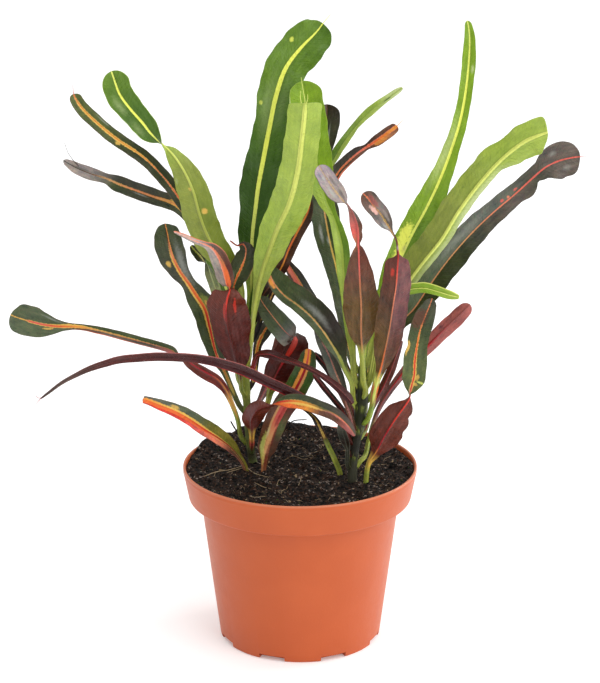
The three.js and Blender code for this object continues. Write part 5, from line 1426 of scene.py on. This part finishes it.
def leaf_finish(leaf_name, look, length):
    """A leaf's skin: its two faces' marks, told apart by the mark on the mesh."""
    material, bench = new_finish(leaf_name + "_skin")
    seed = CLOUD_STEP * own_number(leaf_name, CLOUD_SEEDS)
    faces = []
    for side, flip in (("under", -1), ("upper", 1)):
        face = {**KINDS[look["kind"]][side], **look.get(side, {})}
        faces.append(mark_face(bench, look, face, flip, length, seed))
    upper = bench.mark("upper")
    under_face, upper_face = faces
    colour = bench.blend(upper, under_face[0], upper_face[0])
    height, rough, coat = (
        bench.times_plus(upper, bench.minus(above, below), below)
        for below, above in zip(under_face[1:], upper_face[1:])
    )
    skin = skinned(bench, 0.3, colour, rough, height, 0.4)
    bench.feed(skin.inputs["Coat Weight"], coat)
    return material


blade_marks = make_blade_marks()
patch_marks = make_patch()


def dressed(piece, material, slot, *nodes):
    """Gives a finished piece its material and its body, and hides the nodes that it stands for; slot is not
    used.
    """
    piece.data.materials.clear()
    piece.data.materials.append(material)
    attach(piece, "root")
    if nodes:
        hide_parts(*nodes)
    return piece


def make_leaves():
    """Every leaf, each in the place of the solid with its name."""
    for leaf_name, leaf in LEAVES.items():
        path, look = leaf_path(leaf), LOOKS[leaf_name]
        slot = look.get("slot", "leaf_" + look["kind"])
        piece = leaf_mesh(leaf_name, leaf, path)
        dressed(piece, leaf_finish(leaf_name, look, path.total), slot, leaf_name)


def stem_mesh(stem_name):
    """A stem with swollen knots, each with the scar of a fallen leaf, from deep in the soil to its top."""
    path = stem_paths[stem_name]
    stem = STEMS[stem_name]
    buried = np.linspace(-STEM_DEPTH, 0, BURIED_RINGS + 1)[:-1]
    above = np.linspace(0, path.total, int(path.total / STEM_STATION))
    start = path.at(0)
    points, around_marks, along_marks = [], [], []
    angles = np.arange(STEM_SIDES) * 2 * math.pi / STEM_SIDES
    for length in np.concatenate([buried, above]):
        if length < 0:
            centre, along = start + np.array([0, 0, length]), np.array([0, 0, 1.0])
            radius = stem_radius(stem_name, 0) * (0.8 + 0.2 * (1 + length / STEM_DEPTH))
        else:
            centre, along = path.at(length), path.along(length)
            radius = stem_radius(stem_name, length)
        share = max(length, 0) / path.total
        swell = sum(math.exp(-(((share - knot) / KNOT_SPREAD) ** 2)) for knot in stem["knots"])
        radius -= KNOT_SWELL * (1 - min(swell, 1))
        dome = (share - DOME_START) / (1 - DOME_START)
        if dome > 0:
            radius *= math.sqrt(max(1 - dome, 0.03))
        side = unit(np.cross(np.array([1.0, 0, 0]), along))
        other = np.cross(along, side)
        scar = 0
        for k, knot in enumerate(stem["knots"]):
            off = (share - knot - SCAR_ABOVE_KNOT) / SCAR_SPREAD
            facing = np.clip(np.cos(angles - SCAR_TURN * k), 0, 1)
            scar = scar + SCAR_DEPTH * math.exp(-(off**2)) * facing**2
        ridge = 0.05 * np.sin(9 * angles + 2 * math.sin(0.3 * length))
        ridge += 0.04 * np.sin(5 * angles + 0.4 * length)
        radii = radius + scar + ridge
        ring = centre + radii[:, None] * (np.cos(angles)[:, None] * side + np.sin(angles)[:, None] * other)
        points.extend(ring)
        around_marks.extend(angles)
        along_marks.extend([length] * STEM_SIDES)
    faces = tube_faces(len(points) // STEM_SIDES, STEM_SIDES)
    marks = {"around": around_marks, "along": along_marks}
    made = mesh_of("stem_" + stem_name + "_skin", points, faces, marks)
    turned_out(made)
    return made


def stem_finish(stem_name, low, high, knot_colour, bark, bark_run):
    """Green skin under streaks of bark; bark_run is (first share, last share) of the barked length."""
    material, bench = new_finish(stem_name + "_bark")
    path = stem_paths[stem_name]
    along, around = bench.mark("along"), bench.mark("around")
    share = bench.maths("DIVIDE", along, path.total)
    drawn_out = bench.times(along, 0.12)
    ring = bench.point(bench.maths("COSINE", around), bench.maths("SINE", around), drawn_out)
    streak = bench.noise(ring, 3.2, 4, 0.65)
    speck = bench.noise(ring, 14, 2, 0.6)
    colour = bench.blend(bench.ease(share, 0.1, 0.7), painted(low), painted(high))
    shade = bench.times_plus(bench.minus(streak, 0.5), 0.9, 1.0)
    colour = bench.blend(1.0, colour, bench.point(shade, shade, shade), "MULTIPLY")
    first, last = bark_run
    start = bench.ease(share, first - BARK_FADE, first + BARK_FADE)
    stop = bench.ease(share, last - BARK_FADE, last + BARK_FADE, 1, 0)
    barked = bench.times(start, stop)
    barked = bench.times(barked, bench.ease(bench.times_plus(streak, 0.8, barked), 0.85, 1.15))
    colour = bench.blend(bench.times(barked, 0.8), colour, painted(bark))
    knots = None
    for knot in STEMS[stem_name]["knots"]:
        near = bench.ease(bench.maths("ABSOLUTE", bench.minus(share, knot)), 0.0, 0.05, 1, 0)
        knots = near if knots is None else bench.maths("MAXIMUM", knots, near)
    patchy = bench.ease(bench.noise(ring, 1.7, 3, 0.6), 0.42, 0.6)
    patchy = bench.times(bench.times(knots, 0.7), patchy)
    colour = bench.blend(patchy, colour, painted(knot_colour))
    rough = bench.times_plus(speck, 0.3, 0.35)
    skinned(bench, 0.3, colour, rough, bench.plus(streak, bench.times(speck, 0.4)), 0.4)
    return material


def make_stems():
    """The green stem and the barked one."""
    left = stem_finish("left", "moss", "olive", "stalk", "soot", (0.02, 0.12))
    dressed(stem_mesh("left"), left, "stem_green", "stem_left")
    right = stem_finish("right", "ash", "moss", "olive", "peat", (0.16, 0.78))
    dressed(stem_mesh("right"), right, "stem_bark", "stem_right")


def rounded(outline):
    """An outline of (radius, height, rounding) with each corner turned on an arc of five points."""
    points = []
    given = [np.array(row[:2], float) for row in outline]
    for k, (radius, height, rounding) in enumerate(outline):
        here = given[k]
        if not rounding or k in (0, len(outline) - 1):
            points.append(tuple(here))
            continue
        back, on = given[k - 1] - here, given[k + 1] - here
        cut = min(rounding, 0.45 * np.linalg.norm(back), 0.45 * np.linalg.norm(on))
        start = here + back / np.linalg.norm(back) * cut
        end = here + on / np.linalg.norm(on) * cut
        for t in np.linspace(0, 1, 5):
            points.append(tuple((1 - t) ** 2 * start + 2 * t * (1 - t) * here + t**2 * end))
    return points


def lathe_mesh(name, outline, sides):
    """A closed body of revolution about +Z from an outline that starts and ends on the axis."""
    rings = outline[1:-1]
    angles = np.arange(sides) * 2 * math.pi / sides
    points = [(0, 0, outline[0][1])]
    for radius, height in rings:
        points.extend(zip(radius * np.cos(angles), radius * np.sin(angles), [height] * sides))
    points.append((0, 0, outline[-1][1]))
    made = mesh_of(name, points, turned_faces(len(rings), sides))
    turned_out(made)
    return made


def cut_away(made, cutters):
    """Cuts closed bodies out of a piece and removes them."""
    for cutter in cutters:
        cut = made.modifiers.new("notch", "BOOLEAN")
        cut.operation, cut.solver, cut.object = "DIFFERENCE", "EXACT", cutter
    settle(made)
    for cutter in cutters:
        bpy.data.objects.remove(cutter)


def settle(made):
    """Turns a piece with its modifiers into a plain mesh."""
    evaluated = made.evaluated_get(bpy.context.evaluated_depsgraph_get())
    mesh = bpy.data.meshes.new_from_object(evaluated)
    made.modifiers.clear()
    made.data = mesh


def crease(made, degrees):
    """Smooth shading that stops at edges sharper than this."""
    work = bmesh.new()
    work.from_mesh(made.data)
    for face in work.faces:
        face.smooth = True
    for edge in work.edges:
        if len(edge.link_faces) == 2:
            edge.smooth = edge.calc_face_angle() < math.radians(degrees)
    work.to_mesh(made.data)
    work.free()


def pot_mesh():
    """A thin nursery pot: tapered wall, stepped rim band with a rolled lip, feet between notches."""
    ledge = POT_HEIGHT - RIM_BAND_HEIGHT
    outline = rounded(
        [
            (0, 0, 0),
            (BASE_RADIUS, 0, 1.1),
            (NECK_RADIUS, ledge, 0.9),
            (BAND_FOOT_RADIUS, ledge, 1.3),
            (RIM_RADIUS - LIP_BEAD, POT_HEIGHT - LIP_BEAD_FOOT, 1.2),
            (RIM_RADIUS, POT_HEIGHT - LIP_BEAD_TOP, 0.6),
            (RIM_RADIUS, POT_HEIGHT, 0.8),
            (RIM_RADIUS - LIP, POT_HEIGHT, 0.7),
            (BAND_FOOT_RADIUS - LIP, ledge + WALL, 1.5),
            (NECK_RADIUS - WALL, ledge + WALL, 1.0),
            (BASE_RADIUS - WALL, FLOOR, 2.0),
            (0, FLOOR, 0),
        ]
    )
    made = lathe_mesh("pot_shell", outline, POT_SIDES)
    cutters = []
    for k in range(FOOT_COUNT):
        angle = FRONT_FOOT_TURN + (k + 0.5) * 2 * math.pi / FOOT_COUNT - math.pi / 2
        bpy.ops.mesh.primitive_cube_add(size=1)
        cutter = bpy.context.object
        size = Matrix.Diagonal((2 * NOTCH_DEPTH * MM, NOTCH_WIDTH * MM, 2 * NOTCH_HEIGHT * MM, 1))
        place = Matrix.Rotation(angle, 4, "Z") @ Matrix.Translation((BASE_RADIUS * MM, 0, 0))
        cutter.data.transform(place @ size)
        cutters.append(cutter)
    cut_away(made, cutters)
    crease(made, SHARP_CORNER)
    return made


def pot_finish():
    """Matt moulded plastic, a little scuffed, smoother along the top of the lip, where a paler band is a
    painted highlight.
    """
    material, bench = new_finish("pot_plastic")
    place = bench.node("ShaderNodeTexCoord").outputs["Object"]
    cloud = bench.noise(place, 38, 3)
    grain = bench.noise(place, 900, 2, 0.6)
    scuff = bench.noise(place, 210, 4, 0.7)
    colour = bench.blend(bench.ease(cloud, 0.35, 0.7), painted(POT_DEEP), painted(POT_FACE))
    colour = bench.blend(bench.ease(scuff, 0.66, 0.8, 0, 0.25), colour, painted(POT_PALE))
    axes = bench.node("ShaderNodeSeparateXYZ")
    bench.feed(axes.inputs[0], place)
    # A painted highlight: the top of the lip is blended halfway to the pale tone, and is smoother too
    lip = bench.ease(axes.outputs[2], (POT_HEIGHT - 1.3) * MM, (POT_HEIGHT - 0.5) * MM)
    colour = bench.blend(bench.times(lip, 0.5), colour, painted(POT_PALE))
    rough = bench.times_plus(lip, -0.2, bench.times_plus(scuff, 0.18, 0.34))
    skinned(bench, 0.4, colour, rough, bench.times_plus(grain, 0.5, cloud), 0.12)
    return material


def soil_mesh():
    """Peat filling the pot, with a crumbled surface."""
    ledge = POT_HEIGHT - RIM_BAND_HEIGHT + WALL
    side = [(BASE_RADIUS, FLOOR), (NECK_RADIUS, ledge), (BAND_FOOT_RADIUS, ledge)]
    angles = np.arange(SOIL_SIDES) * 2 * math.pi / SOIL_SIDES
    points = [(0, 0, FLOOR + SOIL_GAP)]
    for outside, height in side:
        radius = outside - WALL - SOIL_GAP
        level = [height + SOIL_GAP] * SOIL_SIDES
        points.extend(zip(radius * np.cos(angles), radius * np.sin(angles), level))
    for ring in range(SOIL_RINGS, 0, -1):
        radius = SOIL_RADIUS * ring / SOIL_RINGS
        for angle in angles:
            x, y = radius * math.cos(angle), radius * math.sin(angle)
            points.append((x, y, crumbled_top(x, y)))
    points.append((0, 0, crumbled_top(0, 0)))
    made = mesh_of("soil_bed", points, turned_faces(len(side) + SOIL_RINGS, SOIL_SIDES))
    turned_out(made)
    return made


def crumbled_top(x, y):
    """The soil's height with its clods, kept low beside the wall."""
    reach = math.hypot(x, y) / SOIL_RADIUS
    at = Vector((x, y, 0))
    clods = 1.1 * noise.noise(at * 0.11) + 0.8 * noise.noise(at * 0.27) + 0.55 * abs(noise.noise(at * 0.6))
    fine = 0.35 * noise.noise(at * 1.3)
    banked = 1.1 * min(max(reach - 0.78, 0) / 0.16, 1)
    edge_drop = 0.6 * max(reach - 0.965, 0) / 0.035
    return soil_top(x, y) + (clods + fine) * min(1, 6 * (1 - reach) + 0.25) + banked - edge_drop


def soil_finish(name, dark, middle, light, grain=SOIL_GRAIN, wet=0.0):
    """Peat: every crumb has a tone of its own, mostly dark, a few light."""
    material, bench = new_finish(name)
    place = bench.node("ShaderNodeTexCoord").outputs["Object"]
    crumb = bench.node("ShaderNodeTexVoronoi")
    bench.feed(crumb.inputs["Vector"], place)
    crumb.inputs["Scale"].default_value = grain
    tone = bench.node("ShaderNodeSeparateColor")
    bench.feed(tone.inputs[0], crumb.outputs["Color"])
    clod = bench.noise(place, 240, 5, 0.7)
    share = bench.times_plus(bench.minus(clod, 0.5), 1.1, tone.outputs[0])
    stops = [(0.0, painted(dark)), (0.55, painted(dark)), (0.95, painted(middle)), (1.3, painted(light))]
    colour = bench.ramp(share, stops)[0]
    warm = bench.ease(tone.outputs[1], 0.7, 1.0, 0, 0.4)
    colour = bench.blend(warm, colour, painted("cocoa"))
    rough = bench.times_plus(clod, 0.3, 0.6)
    skinned(bench, 0.15 + wet, colour, rough, bench.times_plus(tone.outputs[2], 0.5, clod), 1.2)
    return material


class Rules(Bench):
    """A tree of geometry nodes with named inputs, ending in Realize Instances and Set Material."""

    def __init__(self, name, inputs):
        super().__init__(bpy.data.node_groups.new(name, "GeometryNodeTree"))
        face = self.tree.interface
        face.new_socket(name="Geometry", in_out="INPUT", socket_type="NodeSocketGeometry")
        self.sockets = {}
        for label, (kind, value) in inputs.items():
            socket = face.new_socket(name=label, in_out="INPUT", socket_type=kind)
            socket.default_value = value
            self.sockets[label] = socket.identifier
        face.new_socket(name="Geometry", in_out="OUTPUT", socket_type="NodeSocketGeometry")
        self.into = self.node("NodeGroupInput").outputs
        self.out = self.node("NodeGroupOutput").inputs

    def fed(self, kind, values, **settings):
        """A node with a value or a link for each of these sockets."""
        made = self.node(kind, **settings)
        for socket, value in values.items():
            self.feed(made.inputs[socket], value)
        return made

    def finish(self, instances, material):
        real = self.fed("GeometryNodeRealizeInstances", {"Geometry": instances})
        covered = self.fed("GeometryNodeSetMaterial", {"Geometry": real.outputs[0], "Material": material})
        self.tree.links.new(covered.outputs[0], self.out[0])

    def grown(self, name, base, values):
        """The rules' result on a base mesh, as a plain mesh piece of its own."""
        host = in_scene(name, base.data.copy())
        modifier = host.modifiers.new("rules", "NODES")
        modifier.node_group = self.tree
        for label, value in values.items():
            modifier[self.sockets[label]] = value
        settle(host)
        return host


def crumb_rules(material):
    """Crumbs, each a lump of twenty faces, strewn on a surface in sizes between two limits."""
    rules = Rules(
        "crumbs",
        {
            "Density": ("NodeSocketFloat", 100.0), "Smallest": ("NodeSocketFloat", 0.0004),
            "Largest": ("NodeSocketFloat", 0.0012), "Seed": ("NodeSocketInt", 1),
        },
    )
    spots = rules.fed(
        "GeometryNodeDistributePointsOnFaces",
        {"Mesh": rules.into["Geometry"], "Density": rules.into["Density"], "Seed": rules.into["Seed"]},
    )
    lump = rules.fed("GeometryNodeMeshIcoSphere", {"Radius": 1.0, "Subdivisions": 1})
    turn = rules.fed("FunctionNodeRandomValue", {"Seed": rules.into["Seed"]}, data_type="FLOAT_VECTOR")
    turn.inputs[0].default_value, turn.inputs[1].default_value = (0, 0, 0), (6.28, 6.28, 6.28)
    size = rules.fed(
        "FunctionNodeRandomValue",
        {2: rules.into["Smallest"], 3: rules.into["Largest"], "Seed": rules.into["Seed"]},
        data_type="FLOAT",
    )
    squash = rules.fed("FunctionNodeRandomValue", {"Seed": rules.into["Seed"]}, data_type="FLOAT_VECTOR")
    squash.inputs[0].default_value, squash.inputs[1].default_value = (0.6, 0.6, 0.5), (1.3, 1.1, 1.0)
    squashed = {0: squash.outputs[0], 3: size.outputs[1]}
    scale = rules.fed("ShaderNodeVectorMath", squashed, operation="SCALE")
    placed = rules.fed(
        "GeometryNodeInstanceOnPoints",
        {
            "Points": spots.outputs[0], "Instance": lump.outputs[0], "Rotation": turn.outputs[0],
            "Scale": scale.outputs[0],
        },
    )
    rules.finish(placed.outputs[0], material)
    return rules


def soil_skin(bed):
    """The part of the soil's surface that shows, as a base for what lies on it."""
    work = bmesh.new()
    work.from_mesh(bed.data)
    rim = (SOIL_RADIUS - 1.5) * MM
    hidden = []
    for face in work.faces:
        middle = face.calc_center_median()
        if face.normal.z < 0.2 or middle.xy.length > rim or middle.z < SOIL_SHOWS_ABOVE * MM:
            hidden.append(face)
    bmesh.ops.delete(work, geom=hidden, context="FACES")
    mesh = bpy.data.meshes.new("soil_skin")
    work.to_mesh(mesh)
    work.free()
    return in_scene("soil_skin", mesh)


def make_soil():
    """The bed, the crumbs and specks strewn on it, and the fibres and twigs."""
    bed = soil_mesh()
    dressed(bed, soil_finish("peat", "peat", "humus", "smoke"), "soil", "soil")
    base = soil_skin(bed)
    rules = {}
    for tone, pigments in CRUMB_TONES.items():
        rules[tone] = crumb_rules(soil_finish(tone, *pigments, CRUMB_GRAIN))
    for name, tone, density, smallest, largest, seed in CRUMBS:
        values = {"Density": density, "Smallest": smallest * MM, "Largest": largest * MM, "Seed": seed}
        crumbs = rules[tone].grown(name, base, values)
        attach(crumbs, "root")
    fibre = soil_finish("root_fibre", "thatch", "straw", "straw", CRUMB_GRAIN, 0.1)
    twig = soil_finish("dark_twig", "pitch", "soot", "humus")
    lay_fibres(fibre, twig)
    bpy.data.objects.remove(base)


def strand(name, points, thickness, material):
    """A thin bent fibre or twig through these points, thinner at both ends."""
    path = Path(points)
    lengths = np.linspace(0, path.total, max(int(path.total / FIBRE_STATION), 6))
    taper = np.minimum(1, 0.25 + 3 * np.sin(np.pi * np.clip(lengths / path.total, 0.02, 0.98)))
    radii = thickness / 2 * taper
    made = mesh_of(name, *thin_tube(path, lengths, path.STEP, (0.31, 0.11, 0.94), radii, FIBRE_SIDES))
    turned_out(made)
    return dressed(made, material, "soil")


def litter_rows(draw):
    """A short fibre's points, from anywhere on the soil, bending as it goes and ending before the wall."""
    angle, reach = draw.uniform(0, 2 * math.pi), LITTER_REACH * math.sqrt(draw.random())
    x, y = reach * math.cos(angle), reach * math.sin(angle)
    heading, bend = draw.uniform(0, 2 * math.pi), draw.uniform(-LITTER_BEND, LITTER_BEND)
    step = draw.uniform(*LITTER_LENGTHS) / 3
    rows = []
    while len(rows) < LITTER_POINTS and math.hypot(x, y) <= LITTER_END:
        rows.append((x, y, crumbled_top(x, y) + draw.uniform(*LITTER_LIFTS)))
        x, y, heading = x + step * math.cos(heading), y + step * math.sin(heading), heading + bend
    return rows


def lay_fibres(fibre, twig):
    """The root fibres and twigs that stand out, then a litter of short ones."""
    for name, thickness, rows in FIBRES:
        points = [(x, y, crumbled_top(x, y) + lift) for x, y, lift in rows]
        strand(name, points, thickness, twig if name.startswith("twig") else fibre)
    draw = random.Random(LITTER_SEED)
    for k in range(LITTER_COUNT):
        rows = litter_rows(draw)
        if len(rows) > 2:
            thickness = draw.uniform(*LITTER_WIDTHS)
            strand(f"fibre_{k:02d}", rows, thickness, fibre if draw.random() < PALE_SHARE else twig)


def make_floor():
    """A plain pale floor that stays bright under the pot."""
    bpy.ops.mesh.primitive_plane_add(size=14)
    floor = bpy.context.object
    floor.name = "floor"
    material, bench = new_finish("studio_floor")
    skin = shader_of(bench, 0.0)
    skin.inputs["Base Color"].default_value = (0.9, 0.9, 0.9, 1)
    skin.inputs["Roughness"].default_value = 0.9
    skin.inputs["Emission Color"].default_value = (1, 1, 1, 1)
    skin.inputs["Emission Strength"].default_value = 0.2
    floor.data.materials.append(material)


def softbox(name, place, aim, size, power):
    """A square lamp at a place, turned to what it lights."""
    light = bpy.data.lights.new(name, "AREA")
    light.shape, light.size, light.energy = "SQUARE", size, power
    made = in_scene(name, light)
    made.location = place
    made.rotation_euler = (Vector(aim) - Vector(place)).to_track_quat("-Z", "Y").to_euler()


def light_studio():
    """Even light from above, a key from the front right and an edge light from the back right."""
    world = bpy.data.worlds.new("studio")
    world.use_nodes = True
    world.node_tree.nodes["Background"].inputs["Color"].default_value = (1, 1, 1, 1)
    world.node_tree.nodes["Background"].inputs["Strength"].default_value = 0.45
    bpy.context.scene.world = world
    softbox("ceiling", (0, 0.6, 3.4), (0, 0.6, 0), 8.0, 190)
    softbox("key", (1.1, -1.1, 1.0), (0, 0, 0.15), 1.5, 15)
    softbox("edge", (1.2, 0.5, 0.6), (0, 0, 0.12), 0.6, 7)
    bpy.context.scene.view_settings.view_transform = "Standard"


def place_camera():
    """The camera at the viewer's eye."""
    camera = bpy.data.cameras.new("camera")
    camera.sensor_fit, camera.sensor_width = "HORIZONTAL", SENSOR_WIDTH
    camera.lens = SENSOR_WIDTH * FOCAL_PIXELS / PHOTO_WIDTH
    camera.clip_start = 0.05
    made = in_scene("camera", camera)
    made.location = EYE * MM
    made.rotation_euler = (math.pi / 2 - GAZE_DROP, 0, 0)
    bpy.context.scene.camera = made


make_leaves()
make_stems()
dressed(pot_mesh(), pot_finish(), "pot", "pot")
make_soil()
make_floor()
light_studio()
place_camera()
